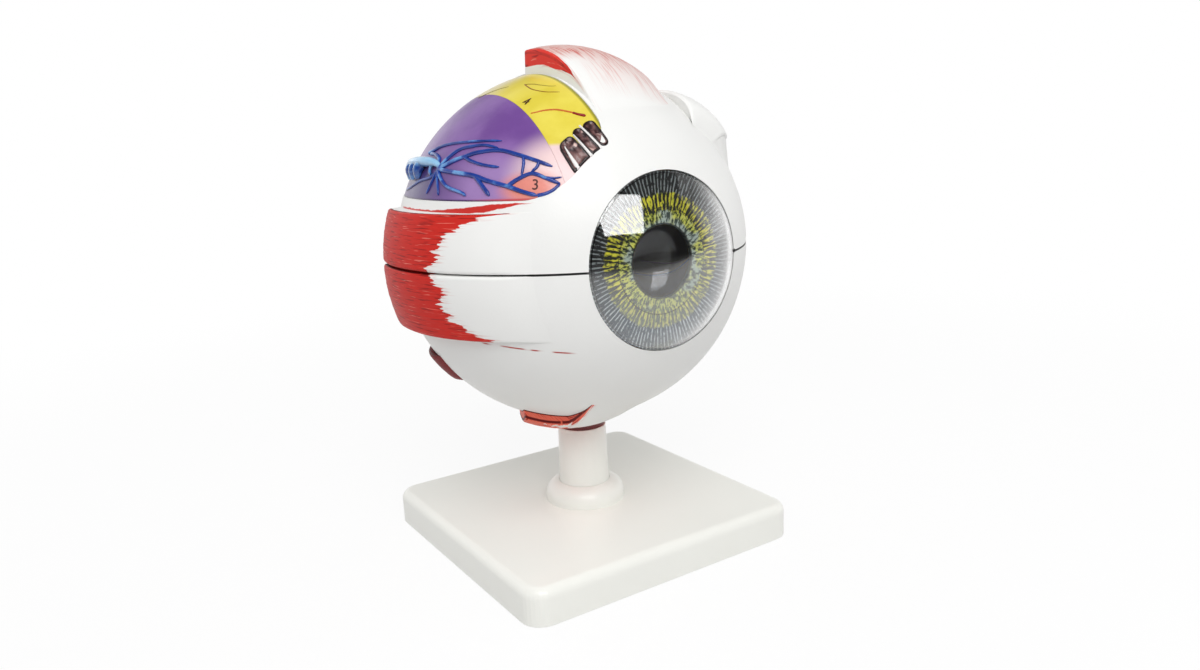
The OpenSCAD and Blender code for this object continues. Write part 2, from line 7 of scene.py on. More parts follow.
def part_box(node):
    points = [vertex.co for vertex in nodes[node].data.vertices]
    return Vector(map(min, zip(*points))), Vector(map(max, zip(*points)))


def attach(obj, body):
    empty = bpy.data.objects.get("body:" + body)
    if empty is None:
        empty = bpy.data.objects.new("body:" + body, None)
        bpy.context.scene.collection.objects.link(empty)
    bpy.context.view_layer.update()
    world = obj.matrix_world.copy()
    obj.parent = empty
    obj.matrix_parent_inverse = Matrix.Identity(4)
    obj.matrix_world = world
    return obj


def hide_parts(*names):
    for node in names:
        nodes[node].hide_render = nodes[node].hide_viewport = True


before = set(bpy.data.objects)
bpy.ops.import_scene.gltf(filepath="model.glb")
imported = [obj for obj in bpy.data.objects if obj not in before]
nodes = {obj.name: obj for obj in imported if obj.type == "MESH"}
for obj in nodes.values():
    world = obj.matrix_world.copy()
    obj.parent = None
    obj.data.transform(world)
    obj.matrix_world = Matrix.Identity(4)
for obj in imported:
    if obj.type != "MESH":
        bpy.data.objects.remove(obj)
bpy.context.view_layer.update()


# ---- Camera ----
# A short lens a little above the cornea, on the temple side of it and held slightly askew.
view_turn, view_rise, view_roll = (math.radians(angle) for angle in (-32.98, 13.3, -2.7))
view_distance = 0.414
view_target = Vector((0.0121, 0, 0.0884))
view_back = Vector((math.sin(view_turn) * math.cos(view_rise), -math.cos(view_turn) * math.cos(view_rise),
                    math.sin(view_rise)))
level = Vector((0, 0, 1)).cross(view_back).normalized()
view_right = level * math.cos(view_roll) + view_back.cross(level) * math.sin(view_roll)
view_up = view_back.cross(view_right)
bpy.ops.object.select_all(action="DESELECT")
bpy.ops.object.camera_add(location=view_target + view_back * view_distance,
                          rotation=Matrix((view_right, view_up, view_back)).transposed().to_euler())
camera = bpy.context.object
camera.data.lens = 27.62
camera.data.clip_start = 0.01
bpy.context.scene.camera = camera
bpy.context.scene.view_settings.view_transform = "Standard"


# ---- Table, background and lamps ----
# A matt white table that runs out to white, a square soft box up at the front, a weak one at the
# nose side and one behind. Reflections show the white sweep and table, and the dark room in front.
table_size = 12
lighting_share = 0.5        # strength of the white surroundings as light on the object
room_dark = 0.05            # the room in front and overhead, as reflections show it
table_glow = 0.86           # share of the table near the object that is plain white to the camera


def wire(tree, kind, *values, out=0, feed=None, **settings):
    """Adds a shader node, feeds its sockets in order or by name, and gives one of its outputs."""
    made = tree.nodes.new("ShaderNode" + kind)
    for name, value in settings.items():
        setattr(made, name, value)
    pairs = list(zip(made.inputs, values))
    pairs += [(made.inputs[name], value) for name, value in (feed or {}).items()]
    for socket, value in pairs:
        if isinstance(value, bpy.types.NodeSocket):
            tree.links.new(value, socket)
        elif value is not None:
            socket.default_value = value
    return made.outputs[out]


def calc(tree, operation, *values):
    return wire(tree, "Math", *values, operation=operation)


def both(tree, first, second):
    """The product of two values; of two masks, where both hold."""
    return wire(tree, "Math", first, second, operation="MULTIPLY")


def cloudy(tree, scale, detail, **more):
    """Noise from 0 to 1 that is fixed to the piece."""
    feed = {"Scale": scale, "Detail": detail, **more}
    return wire(tree, "TexNoise", wire(tree, "TexCoord", out=3), feed=feed)


def light_path(tree):
    """The kinds of ray, and a mask of those seen straight, mirrored or through clear parts."""
    path = tree.nodes.new("ShaderNodeLightPath").outputs
    seen = calc(tree, "MAXIMUM", path["Is Camera Ray"], calc(
        tree, "MAXIMUM", path["Is Glossy Ray"], path["Is Transmission Ray"]))
    return path, seen


world = bpy.data.worlds.new("white studio")
bpy.context.scene.world = world
world.use_nodes = True
tree = world.node_tree
direction = wire(tree, "TexCoord")
height = wire(tree, "SeparateXYZ", direction, out=2)
to_front = wire(tree, "VectorMath", direction, (-0.31, -0.85, 0.42), operation="DOT_PRODUCT", out=1)
in_front = wire(tree, "MapRange", to_front, -0.1, 0.4, 0.0, 1.0)
overhead = wire(tree, "MapRange", height, 0.15, 0.5, 0.0, 1.0)
mirrored = wire(tree, "MapRange", calc(tree, "MAXIMUM", in_front, overhead), 0.0, 1.0, 1.0, room_dark)
path, seen = light_path(tree)
shown = wire(tree, "MapRange", path["Glossy Depth"], 0.0, 1.0, 1.0, mirrored)
light = wire(tree, "MapRange", height, 0.1, 0.9, lighting_share, lighting_share + 0.12)
share = wire(tree, "MapRange", seen, 0.0, 1.0, light, shown)
tree.links.new(share, tree.nodes["Background"].inputs["Strength"])
tree.nodes["Background"].inputs["Color"].default_value = (1, 1, 1, 1)

bpy.ops.mesh.primitive_plane_add(size=table_size, location=(0, 0, -0.0002))
table = bpy.context.object
table.name = "table"
table_white = bpy.data.materials.new("table white")
table_white.use_nodes = True
tree = table_white.node_tree
spot = wire(tree, "TexCoord", out=3)
path, seen = light_path(tree)
bounce = wire(tree, "MapRange", path["Is Camera Ray"], 0.0, 1.0, 0.6, 0.92)
grain = wire(tree, "MapRange", cloudy(tree, 40.0, 4.0), 0.0, 1.0, 0.98, 1.02)
matt = wire(tree, "BsdfDiffuse", both(tree, bounce, grain))
forward = wire(tree, "VectorMath", spot, (-0.54, -0.84, 0.0), operation="DOT_PRODUCT", out=1)
mirrored = wire(tree, "MapRange", forward, 0.2, 1.1, 1.0, 0.12, interpolation_type="SMOOTHSTEP")
shown = wire(tree, "MapRange", path["Glossy Depth"], 0.0, 1.0, 1.0, mirrored)
white = wire(tree, "Emission", (1, 1, 1, 1), shown)
far = wire(tree, "VectorMath", spot, operation="LENGTH", out=1)
glow = wire(tree, "MapRange", far, 0.2, 0.7, table_glow, 1.0, interpolation_type="SMOOTHSTEP")
mixed = wire(tree, "MixShader", both(tree, seen, glow), matt, white)
tree.links.new(mixed, tree.nodes["Material Output"].inputs["Surface"])
table.data.materials.append(table_white)


def soft_box(name, turn, rise, distance, width, power, aim):
    """A square lamp that faces the eye from a direction given in degrees."""
    turn, rise = math.radians(turn), math.radians(rise)
    away = Vector((-math.sin(turn) * math.cos(rise), -math.cos(turn) * math.cos(rise), math.sin(rise)))
    bpy.ops.object.light_add(type="AREA", location=aim + away * distance,
                             rotation=away.to_track_quat("Z", "Y").to_euler())
    lamp = bpy.context.object
    lamp.name = name
    lamp.data.shape = "SQUARE"
    lamp.data.size = width
    lamp.data.energy = power
    return lamp


soft_box("soft box", 24, 43, 1.2, 0.8, 8.9, Vector((0, 0, 0.13)))
side_box = soft_box("side box", -84, 22, 1.6, 1.2, 2.6, Vector((0, 0, 0.1)))
side_box.visible_glossy = False                  # no hard edge of it in the cornea
soft_box("back box", 165, 30, 1.8, 1.4, 4.0, Vector((0, 0, 0.1)))


# ---- White shell ----
# The white of the eye: two cast plastic halves, filled, rubbed down and sprayed satin white.
# The parting groove and a small notch beside the cornea are painted black inside, with a black dot
# round the notch's mouth: painted shade in the seam and the hole.
mm = 0.001
shell_low, shell_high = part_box("lower_sclera")
EYE = Vector((0, 0, shell_high.z))               # centre of the eyeball
EYE_R = -shell_low.x / mm                        # its radius in millimetres
GROOVE_HALF = 0.36
NOTCH_TURN = 28.0                                # degrees from the front towards the nose


def paint(red, green, blue):
    """A colour given as it looks on a screen, 0 to 255."""
    return (*(c / 3294.6 if c <= 10 else ((c / 255 + 0.055) / 1.055) ** 2.4 for c in (red, green, blue)), 1)


def blend(tree, mask, first, second):
    """The first colour where the mask is 0, the second where it is 1."""
    made = tree.nodes.new("ShaderNodeMix")
    made.data_type = "RGBA"
    for index, value in ((0, mask), (6, first), (7, second)):
        if isinstance(value, bpy.types.NodeSocket):
            tree.links.new(value, made.inputs[index])
        else:
            made.inputs[index].default_value = value
    return made.outputs[2]


def rising(tree, value, low, high):
    """A soft step from 0 at low to 1 at high."""
    return wire(tree, "MapRange", value, low, high, 0.0, 1.0, interpolation_type="SMOOTHSTEP")


def swing(tree, value, reach):
    """Noise from 0 to 1 turned into a push either way."""
    return both(tree, calc(tree, "SUBTRACT", value, 0.5), reach)


def hypotenuse(tree, first, second):
    return calc(tree, "SQRT", calc(tree, "ADD", both(tree, first, first), both(tree, second, second)))


def new_group(name, inputs, outputs):
    group = bpy.data.node_groups.new(name, "ShaderNodeTree")
    for socket, kind in inputs:
        group.interface.new_socket(socket, in_out="INPUT", socket_type=kind)
    for socket, kind in outputs:
        group.interface.new_socket(socket, in_out="OUTPUT", socket_type=kind)
    return group, group.nodes.new("NodeGroupInput").outputs, group.nodes.new("NodeGroupOutput").inputs


def use_group(tree, group, **feed):
    made = tree.nodes.new("ShaderNodeGroup")
    made.node_tree = group
    for name, value in feed.items():
        if isinstance(value, bpy.types.NodeSocket):
            tree.links.new(value, made.inputs[name])
        else:
            made.inputs[name].default_value = value
    return made.outputs


# Place on the eyeball: degrees towards the temple and up, and millimetres from its centre
number = "NodeSocketFloat"
ball_place, given, result = new_group("place on the eyeball", [], [
    (output, number) for output in ("Turn", "Rise", "Radius", "Side", "Back", "Up")])
from_centre = wire(ball_place, "VectorMath", wire(ball_place, "TexCoord", out=3), tuple(EYE),
                   operation="SUBTRACT")
in_mm = wire(ball_place, "VectorMath", from_centre, feed={"Scale": 1000.0}, operation="SCALE")
apart = wire(ball_place, "SeparateXYZ", in_mm).node.outputs
radius = wire(ball_place, "VectorMath", in_mm, operation="LENGTH", out=1)
turn = calc(ball_place, "ARCTAN2", both(ball_place, apart[0], -1.0), both(ball_place, apart[1], -1.0))
rise = calc(ball_place, "ARCSINE", calc(ball_place, "DIVIDE", apart[2], radius))
turn, rise = (calc(ball_place, "DEGREES", angle) for angle in (turn, rise))
for socket, value in (("Turn", turn), ("Rise", rise), ("Radius", radius),
                      ("Side", apart[0]), ("Back", apart[1]), ("Up", apart[2])):
    ball_place.links.new(value, result[socket])

# Hand-sprayed paint: slow drift of the colour, a faint orange peel and uneven gloss
spray, given, result = new_group("sprayed paint", [
    ("Colour", "NodeSocketColor"), ("Drift", number), ("Rough", number)], [
    ("Colour", "NodeSocketColor"), ("Roughness", number), ("Height", number)])
slow = cloudy(spray, 28.0, 3.0)
peel = cloudy(spray, 900.0, 2.0)
shade = calc(spray, "ADD", 1.0, swing(spray, slow, given["Drift"]))
tinted = wire(spray, "HueSaturation", feed={"Color": given["Colour"], "Value": shade})
spray.links.new(tinted, result["Colour"])
uneven = calc(spray, "ADD", 1.0, swing(spray, slow, 0.25))
spray.links.new(both(spray, given["Rough"], uneven), result["Roughness"])
spray.links.new(calc(spray, "ADD", peel, both(spray, slow, 2.0)), result["Height"])
PEEL_HEIGHT = 0.00003


def painted(name, colour, rough, drift=0.06, coat=0.0, **plain):
    """A sprayed surface whose colour is a colour or the output of a pattern built by a function."""
    material = bpy.data.materials.new(name)
    material.use_nodes = True
    tree = material.node_tree
    shader = tree.nodes["Principled BSDF"]
    coloured = colour(tree) if callable(colour) else colour
    skin = use_group(tree, spray, Colour=coloured, Drift=drift, Rough=rough)
    tree.links.new(skin["Colour"], shader.inputs["Base Color"])
    tree.links.new(skin["Roughness"], shader.inputs["Roughness"])
    bump = wire(tree, "Bump", feed={"Distance": PEEL_HEIGHT, "Height": skin["Height"]})
    tree.links.new(bump, shader.inputs["Normal"])
    for socket, value in {"Coat Weight": coat, "Coat Roughness": 0.1, **plain}.items():
        shader.inputs[socket.replace("_", " ")].default_value = value
    return material


def dress(names, material):
    """Gives CAD nodes one material in place of the plain one that they came with."""
    for name in names:
        nodes[name].data.materials.clear()
        nodes[name].data.materials.append(material)


SHELL_WHITE = paint(238, 238, 236)
GROOVE_BLACK = paint(14, 12, 12)
MUSCLE_RED = paint(205, 40, 31)


def shell_colour(tree):
    spot = use_group(tree, ball_place)
    up, back, out = spot["Up"], spot["Back"], spot["Radius"]
    off_seam = calc(tree, "ABSOLUTE", up)
    on_temple = rising(tree, spot["Side"], -30.0, -34.0)
    sunk = rising(tree, out, EYE_R - 0.12, EYE_R - 0.2)
    # black inside the parting groove: painted shade in the seam
    groove = both(tree, rising(tree, off_seam, GROOVE_HALF + 0.08, GROOVE_HALF + 0.03),
                  rising(tree, out, EYE_R - 1.6, EYE_R - 1.5))
    # black inside the notch and in a dot round its mouth: painted shade of the hole
    notch_turn = calc(tree, "ABSOLUTE", calc(tree, "ADD", spot["Turn"], NOTCH_TURN))
    notch = both(tree, rising(tree, notch_turn, 1.0, 0.9), rising(tree, off_seam, 1.2, 1.1))
    from_dot = hypotenuse(tree, notch_turn, up)
    dot = calc(tree, "MAXIMUM", both(tree, notch, sunk), rising(tree, from_dot, 0.75, 0.65))
    colour = blend(tree, dot, SHELL_WHITE, GROOVE_BLACK)
    # red that ran over the edge of the temple muscle, under the window
    wobble = swing(tree, cloudy(tree, 260.0, 3.0), 1.2)
    forward = both(tree, back, -1.0)
    top_line = calc(tree, "ADD", both(tree, rising(tree, forward, 12.0, 48.0), 2.7), 22.8)
    low_line = calc(tree, "ADD", both(tree, rising(tree, forward, 33.0, 54.0), 3.6), 21.7)
    under_top = rising(tree, calc(tree, "SUBTRACT", calc(tree, "ADD", top_line, wobble), up), 0.0, 0.35)
    over_low = rising(tree, calc(tree, "SUBTRACT", up, calc(tree, "ADD", low_line, wobble)), 0.0, 0.35)
    temple = both(tree, on_temple, rising(tree, forward, 53.0, 50.0))
    band = both(tree, both(tree, under_top, over_low), both(tree, temple, rising(tree, back, 19.0, 12.0)))
    colour = blend(tree, band, colour, MUSCLE_RED)
    # the broken thin line that runs on from its lower corner
    share = calc(tree, "DIVIDE", calc(tree, "SUBTRACT", forward, 29.0), 27.0)
    run = calc(tree, "POWER", calc(tree, "MAXIMUM", share, 0.0), 1.4)
    line = calc(tree, "SUBTRACT", -26.7, both(tree, run, 3.8))
    near = rising(tree, calc(tree, "ABSOLUTE", calc(tree, "SUBTRACT", up, line)), 0.42, 0.2)
    broken = rising(tree, cloudy(tree, 130.0, 1.0), 0.42, 0.55)
    reach = both(tree, rising(tree, forward, 27.0, 30.0), rising(tree, forward, 57.5, 55.0))
    thin = both(tree, both(tree, near, broken), both(tree, reach, on_temple))
    colour = blend(tree, thin, colour, paint(176, 58, 46))
    return blend(tree, groove, colour, GROOVE_BLACK)


shell_paint = painted("shell white", shell_colour, 0.42, drift=0.03)
dress(["lower_sclera", "upper_sclera"], shell_paint)


# ---- Window panels ----
# Two bent panels let into the shell: violet for the vascular coat, yellow for the retina.
# Both are airbrushed and varnished, with key numbers lettered on by hand.
PANEL_R = EYE_R - 0.3


def patch(tree, spot, turn, rise, wide, high, soft):
    """A soft round patch on the eyeball, in degrees."""
    across = calc(tree, "DIVIDE", calc(tree, "SUBTRACT", spot["Turn"], float(turn)), float(wide))
    upward = calc(tree, "DIVIDE", calc(tree, "SUBTRACT", spot["Rise"], float(rise)), float(high))
    return rising(tree, hypotenuse(tree, across, upward), 1.0 + soft, 1.0 - soft)


def violet_colour(tree):
    spot = use_group(tree, ball_place)
    cloud = rising(tree, cloudy(tree, 60.0, 5.0), 0.35, 0.65)
    violet = blend(tree, cloud, paint(114, 72, 150), paint(132, 90, 166))
    # a pale lilac patch low in the middle: partly the paint's lighter tone, partly a painted highlight on the
    # varnish
    lilac_tone_and_highlight = both(tree, patch(tree, spot, 57, 26, 17, 10, 0.75), 0.8)
    lilac = blend(tree, lilac_tone_and_highlight, violet, paint(168, 136, 192))
    # darker violet below the thick vein and its roots: painted shadow of the vein
    painted_vein_shadow = blend(tree, patch(tree, spot, 92, 25, 16, 9, 0.8), lilac, paint(72, 54, 112))
    pink = blend(tree, patch(tree, spot, 35, 29, 13, 10, 0.55), painted_vein_shadow, paint(238, 208, 208))
    coral = blend(tree, patch(tree, spot, 43.5, 24.2, 8.5, 4.4, 0.5), pink, paint(230, 138, 124))
    foot = both(tree, rising(tree, spot["Up"], 27.2, 26.4), rising(tree, spot["Turn"], 66.0, 46.0))
    dark_foot = blend(tree, rising(tree, spot["Up"], 26.9, 26.2), coral, paint(58, 34, 84))
    return blend(tree, foot, dark_foot, paint(206, 84, 84))


def yellow_colour(tree):
    spot = use_group(tree, ball_place)
    cloud = rising(tree, cloudy(tree, 70.0, 5.0), 0.35, 0.65)
    yellow = blend(tree, cloud, paint(224, 206, 62), paint(234, 218, 84))
    # paler cream towards the back end: a painted reflection on the varnish
    pale = blend(tree, rising(tree, spot["Turn"], 68.0, 96.0), yellow, paint(232, 220, 172))
    tip = blend(tree, rising(tree, spot["Rise"], 38.2, 36.6), pale, paint(238, 208, 208))
    rim = both(tree, rising(tree, spot["Side"], -17.6, -16.6), rising(tree, spot["Rise"], 38.0, 40.0))
    return blend(tree, rim, tip, paint(160, 152, 40))


dress(["choroid_panel"], painted("violet varnish", violet_colour, 0.36, coat=0.2))
dress(["retina_panel"], painted("yellow varnish", yellow_colour, 0.36, coat=0.2))


def on_ball(turn, rise, radius):
    """A point in metres, from degrees towards the temple and up, and millimetres from the centre."""
    turn, rise = math.radians(turn), math.radians(rise)
    return EYE + Vector((-math.sin(turn) * math.cos(rise), -math.cos(turn) * math.cos(rise),
                         math.sin(rise))) * radius * mm


def hand_number(figure, turn, rise, height, lean):
    """A painted figure laid on the ball, as thick as a brush stroke."""
    bpy.ops.object.select_all(action="DESELECT")
    bpy.ops.object.text_add()
    piece = bpy.context.object
    piece.data.body = figure
    piece.data.size = height * 1.4
    piece.data.extrude = 0.06
    piece.data.shear = lean
    piece.data.resolution_u = 6
    bpy.ops.object.convert(target="MESH")
    piece = bpy.context.object
    piece.name = "number_" + figure
    middle = sum((v.co for v in piece.data.vertices), Vector()) / len(piece.data.vertices)
    for v in piece.data.vertices:
        off = v.co - middle
        across = off.x / (PANEL_R * math.cos(math.radians(rise)))
        upward = off.y / PANEL_R
        v.co = on_ball(turn - math.degrees(across), rise + math.degrees(upward), PANEL_R + 0.08 + off.z)
    return piece


ink = painted("dark brown ink", paint(72, 34, 30), 0.5)
for figure, turn, rise, height, lean in (("3", 41.8, 25.3, 4.0, 0.0), ("4", 51.0, 55.2, 4.0, 0.3)):
    number_piece = hand_number(figure, turn, rise, height, lean)
    number_piece.data.materials.append(ink)
    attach(number_piece, "upper_sclera")


# ---- Blue veins ----
# The whirl of veins over the violet panel: thin cast ribs, brushed royal blue, lighter in patches
# along their backs, partly from wear of the glaze and partly a painted sheen, and painted darker
# at their foot as shade. They run from one star in front of the thick vein.
star = (81.5, 30.3)
vein_routes = [
    ([star, (75.4, 32.8), (69.5, 34.5), (64.4, 35.7), (55.8, 36.2), (48.5, 34.5), (42.4, 32.6), (36.5, 30.4)],
     0.95, 0.7),
    ([(95, 35.6), (91, 36.8), (87.3, 38.0), (79.6, 39.0), (69.5, 39.5), (62.3, 39.6), (56, 39.4)], 0.8, 0.45),
    ([star, (83.2, 32.3), (84.6, 34), (89, 35.2), (94, 35.4)], 0.9, 0.75),
    ([star, (78.7, 33.8), (74.1, 36.8), (68.4, 37.8), (62.9, 38.1), (56.7, 37.1)], 0.9, 0.5),
    ([(70.5, 34.3), (67.0, 33.1), (62.3, 31.9), (58.2, 31.2), (54.6, 30.8)], 0.7, 0.55),
    ([star, (73.2, 29.4), (64.2, 28.4), (57.9, 26.7), (50.7, 24.9), (45.2, 23.1), (41.0, 22.0)], 0.95, 0.8),
    ([star, (79.8, 28.4), (74.4, 25.1), (67.4, 23.3), (65.0, 22.3)], 0.85, 0.6),
    ([(63.0, 28.2), (61.5, 27.0), (58.5, 24.3), (56.4, 22.3)], 0.85, 0.75),
    ([star, (81.1, 28.4), (78.3, 24.2), (77.4, 22.3)], 0.75, 0.5),
    ([star, (82.4, 28.3), (83.4, 25.0), (84.4, 22.6)], 0.75, 0.45),
    ([star, (84.6, 27.8), (91.8, 26.4), (101, 23.8), (107.7, 22.6)], 0.7, 0.4),
    ([(50.7, 24.9), (47.4, 27.0), (42.9, 28.5), (38.2, 26.8), (34.2, 25.2)], 0.85, 0.7),
    ([(41.0, 22.0), (38.4, 22.5), (36, 23.6), (34.2, 25.2)], 0.75, 0.6),
    ([(46.5, 33.8), (46.1, 31.5), (46.4, 27.5)], 0.6, 0.55),
    ([(41.0, 31.9), (41.6, 30.4), (43.4, 28.9)], 0.6, 0.55),
    ([(39.5, 27.4), (36.4, 26.9), (33.6, 27.1)], 0.5, 0.35)]
VEIN_SINK = 0.15                                 # how far a vein's axis lies over the panel


def smooth_path(places, steps):
    """Points of a smooth curve through places that are tuples of equal length."""
    ends = [places[0], *places, places[-1]]
    path = []
    for before, start, finish, after in zip(ends, ends[1:], ends[2:], ends[3:]):
        for i in range(steps):
            t = i / steps
            path.append(tuple(
                0.5 * (2 * b + (c - a) * t + (2 * a - 5 * b + 4 * c - d) * t ** 2
                       + (3 * b - a - 3 * c + d) * t ** 3)
                for a, b, c, d in zip(before, start, finish, after)))
    return path + [tuple(places[-1])]


def tubes(name, runs, sides=3):
    """Round tubes in one piece; a run is a list of (point, radius in millimetres)."""
    curve = bpy.data.curves.new(name, "CURVE")
    curve.dimensions = "3D"
    curve.bevel_depth = mm
    curve.bevel_resolution = sides
    curve.use_fill_caps = True
    for run in runs:
        spline = curve.splines.new("POLY")
        spline.points.add(len(run) - 1)
        for knot, (point, radius) in zip(spline.points, run):
            knot.co = (*point, 1)
            knot.radius = radius
    piece = bpy.data.objects.new(name, curve)
    bpy.context.collection.objects.link(piece)
    bpy.ops.object.select_all(action="DESELECT")
    piece.select_set(True)
    bpy.context.view_layer.objects.active = piece
    bpy.ops.object.convert(target="MESH")
    bpy.ops.object.shade_smooth_by_angle(angle=math.radians(50))
    return bpy.context.object


def vein_run(places, thick, thin, height, steps=6):
    """A run over the panel that tapers evenly and ends in a short point."""
    path = smooth_path(places, steps)
    count = len(path) - 1
    run = []
    for i, (turn, rise) in enumerate(path):
        lumpy = 1 + 0.12 * noise.noise(Vector((turn, rise, 3)) * 0.4)
        ending = min(1, 0.35 + (count - i) / 4)
        run.append((on_ball(turn, rise, height), (thick + (thin - thick) * i / count) * lumpy * ending))
    return run


def vein_colour(tree):
    out = use_group(tree, ball_place)["Radius"]
    cloud = cloudy(tree, 150.0, 3.0)
    blue = blend(tree, rising(tree, cloud, 0.3, 0.7), paint(20, 52, 138), paint(38, 78, 172))
    # lighter in patches along the backs of the veins: partly wear of the glaze, partly a painted sheen
    worn_and_sheen = both(tree, rising(tree, cloud, 0.52, 0.66), rising(tree, out, PANEL_R + 0.5, PANEL_R + 0.85))
    light = blend(tree, worn_and_sheen, blue, paint(104, 160, 218))
    # darker at the foot where a vein meets the panel: painted shade
    return blend(tree, rising(tree, out, PANEL_R + 0.3, PANEL_R + 0.05), light, paint(16, 26, 92))


blue_glaze = painted("blue glaze", vein_colour, 0.28, coat=0.5)
veins = tubes("window_veins", [vein_run(*route, PANEL_R + VEIN_SINK) for route in vein_routes])
veins.data.materials.append(blue_glaze)
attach(veins, "upper_sclera")
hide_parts("vortex_veins")


# ---- Thick vein ----
# The vein that leaves the eye: a fat cast arch with its foot in the star and short roots on
# its lower side, brushed dark blue, painted darker towards the panel as shade under the arch
# and light blue along the top as a painted highlight.
# turn, rise, distance from the centre and radius; for a root the last is the rise of its foot
TRUNK_AXIS = [(111.0, 26.8, 72.8, 1.9), (110.2, 28.8, 74.6, 2.1), (107.2, 30.6, 75.5, 2.1),
              (103.5, 31.2, 75.6, 2.1), (98, 31.7, 75.6, 2.1), (92, 32.0, 75.4, 2.0), (87, 32.2, 75.0, 1.7),
              (83.2, 31.8, 74.4, 1.2), (80.9, 30.6, 73.7, 0.8)]
TRUNK_LEGS = [(104.6, 30.2, 75.0, 27.2), (99.4, 30.6, 75.0, 27.0), (94.4, 30.8, 74.9, 27.4)]
HOOK_TURN, HOOK_RISE = 84.6, 30.4                # middle of the curl that the arch's thin end makes
HOOK_R = 0.62


def trunk_colour(tree):
    spot = use_group(tree, ball_place)
    cloud = cloudy(tree, 220.0, 4.0)
    height = calc(tree, "ADD", spot["Rise"], swing(tree, cloud, 1.6))
    body = blend(tree, rising(tree, cloud, 0.4, 0.65), paint(26, 62, 140), paint(84, 142, 206))
    # darker towards the panel, under the arch and between the roots: painted shade
    dark = blend(tree, rising(tree, spot["Radius"], PANEL_R + 0.7, PANEL_R), body, paint(10, 18, 60))
    # light blue along the top: a painted highlight
    lit = calc(tree, "MAXIMUM", rising(tree, height, 29.6, 32.0), rising(tree, spot["Turn"], 106.0, 107.6))
    return blend(tree, lit, dark, paint(150, 200, 236))


arch = [(on_ball(turn, rise, out), thick) for turn, rise, out, thick in smooth_path(TRUNK_AXIS, 5)]
roots = []
for turn, rise, out, foot in TRUNK_LEGS:
    leg = smooth_path([(rise, out), ((rise * 1.4 + foot) / 2.4, out + 0.35), (foot, PANEL_R - 0.2)], 4)
    roots.append([(on_ball(turn + (rise - up) * 0.15, up, away), 2.45 - 0.2 * (rise - up))
                  for up, away in leg])
hook = []
for step in range(15):
    angle = math.radians(150 - 17 * step)
    turn, rise = HOOK_TURN + 2.0 * math.cos(angle), HOOK_RISE + 1.9 * math.sin(angle)
    hook.append((on_ball(turn, rise, 74.9 - 0.05 * step), HOOK_R))
trunk = tubes("thick_vein", [arch, *roots, hook], sides=6)
trunk.data.materials.append(painted("blue glaze with painted light and shade", trunk_colour, 0.22, coat=0.7))
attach(trunk, "upper_sclera")
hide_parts("vortex_vein_trunk")


# ---- Fine lines on the window ----
# Low raised lines on the yellow panel: an orange vessel that ends dark red, a brown forked one
# above it, and a thin scribed line further back.
fine_runs = [
    ("orange_vessel", [(46.9, 49.6), (44.4, 50.0), (41.0, 50.6), (35.6, 50.7), (30.2, 49.6), (26.6, 48.5)],
     0.26, 0.4, (206, 104, 36), "artery"),
    ("red_vessel_end", [(28.2, 49.0), (26.2, 48.3), (24.4, 47.8), (22.9, 47.5)], 0.5, 0.62,
     (150, 24, 16), "artery"),
    ("brown_vessel_low", [(61.2, 65.7), (56, 63.6), (51.1, 61.8), (42.5, 60.0), (34.0, 59.6)], 0.26, 0.16,
     (150, 98, 36), "dark_red"),
    ("brown_vessel_high", [(61.2, 65.7), (54, 65.6), (47.6, 64.6), (41, 63.6), (36.6, 63.6)], 0.22, 0.12,
     (160, 136, 54), "dark_red"),
    ("scribed_line", [(96.0, 59.1), (91, 61.2), (86.7, 62.7), (81, 64.2), (75.3, 65.1)], 0.18, 0.14,
     (150, 140, 84), "dark_red")]
for name, places, thick, thin, colour, slot in fine_runs:
    line = tubes(name, [vein_run(places, thick, thin, PANEL_R + 0.03)])
    line.data.materials.append(painted(name + " paint", paint(*colour), 0.4, drift=0.3))
    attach(line, "upper_sclera")


# ---- Comb of the ciliary body ----
# Three dark cast lobes side by side at the window's front edge, each with a thick rim and a
# hollow, wiped face. White wedges lie between them and split the widest one.
COMB_FRONT = 39.75                               # degrees from the line of sight
# back edge, then start and finish round the line of sight at the front and at the back
COMB_LOBES = ((48.9, (32.0, 43.0), (30.3, 37.2)), (49.4, (25.7, 31.2), (25.2, 29.7)),
              (49.5, (20.2, 25.0), (18.7, 24.6)))
COMB_WEDGES = ((47.2, (39.0, 41.2), (35.7, 36.2)), (48.3, (30.6, 32.2), (29.4, 29.9)),
               (49.6, (24.7, 26.1), (24.5, 25.3)))
STEPS_AT_EDGE = (0, 0.12, 0.35, 0.7, 1.1, 1.6)   # distances from an edge, in millimetres


def spread(length, step):
    """Distances from one edge to the other, close together near both."""
    last = min(STEPS_AT_EDGE[-1], length * 0.3)
    near = [d * last / STEPS_AT_EDGE[-1] for d in STEPS_AT_EDGE]
    count = max(2, round((length - 2 * last) / step))
    inner = [last + (length - 2 * last) * i / count for i in range(1, count)]
    return [*near, *inner, *(length - d for d in reversed(near))]


def round_corner(first, second, corner):
    """Bends a square corner of a patch round; takes and gives distances from its two edges."""
    if first >= corner or second >= corner:
        return first, second, min(first, second)
    s, t = 1 - first / corner, 1 - second / corner
    reach = max(s, t)
    pull = reach / math.hypot(s, t)
    return corner * (1 - s * pull), corner * (1 - t * pull), corner * (1 - reach)


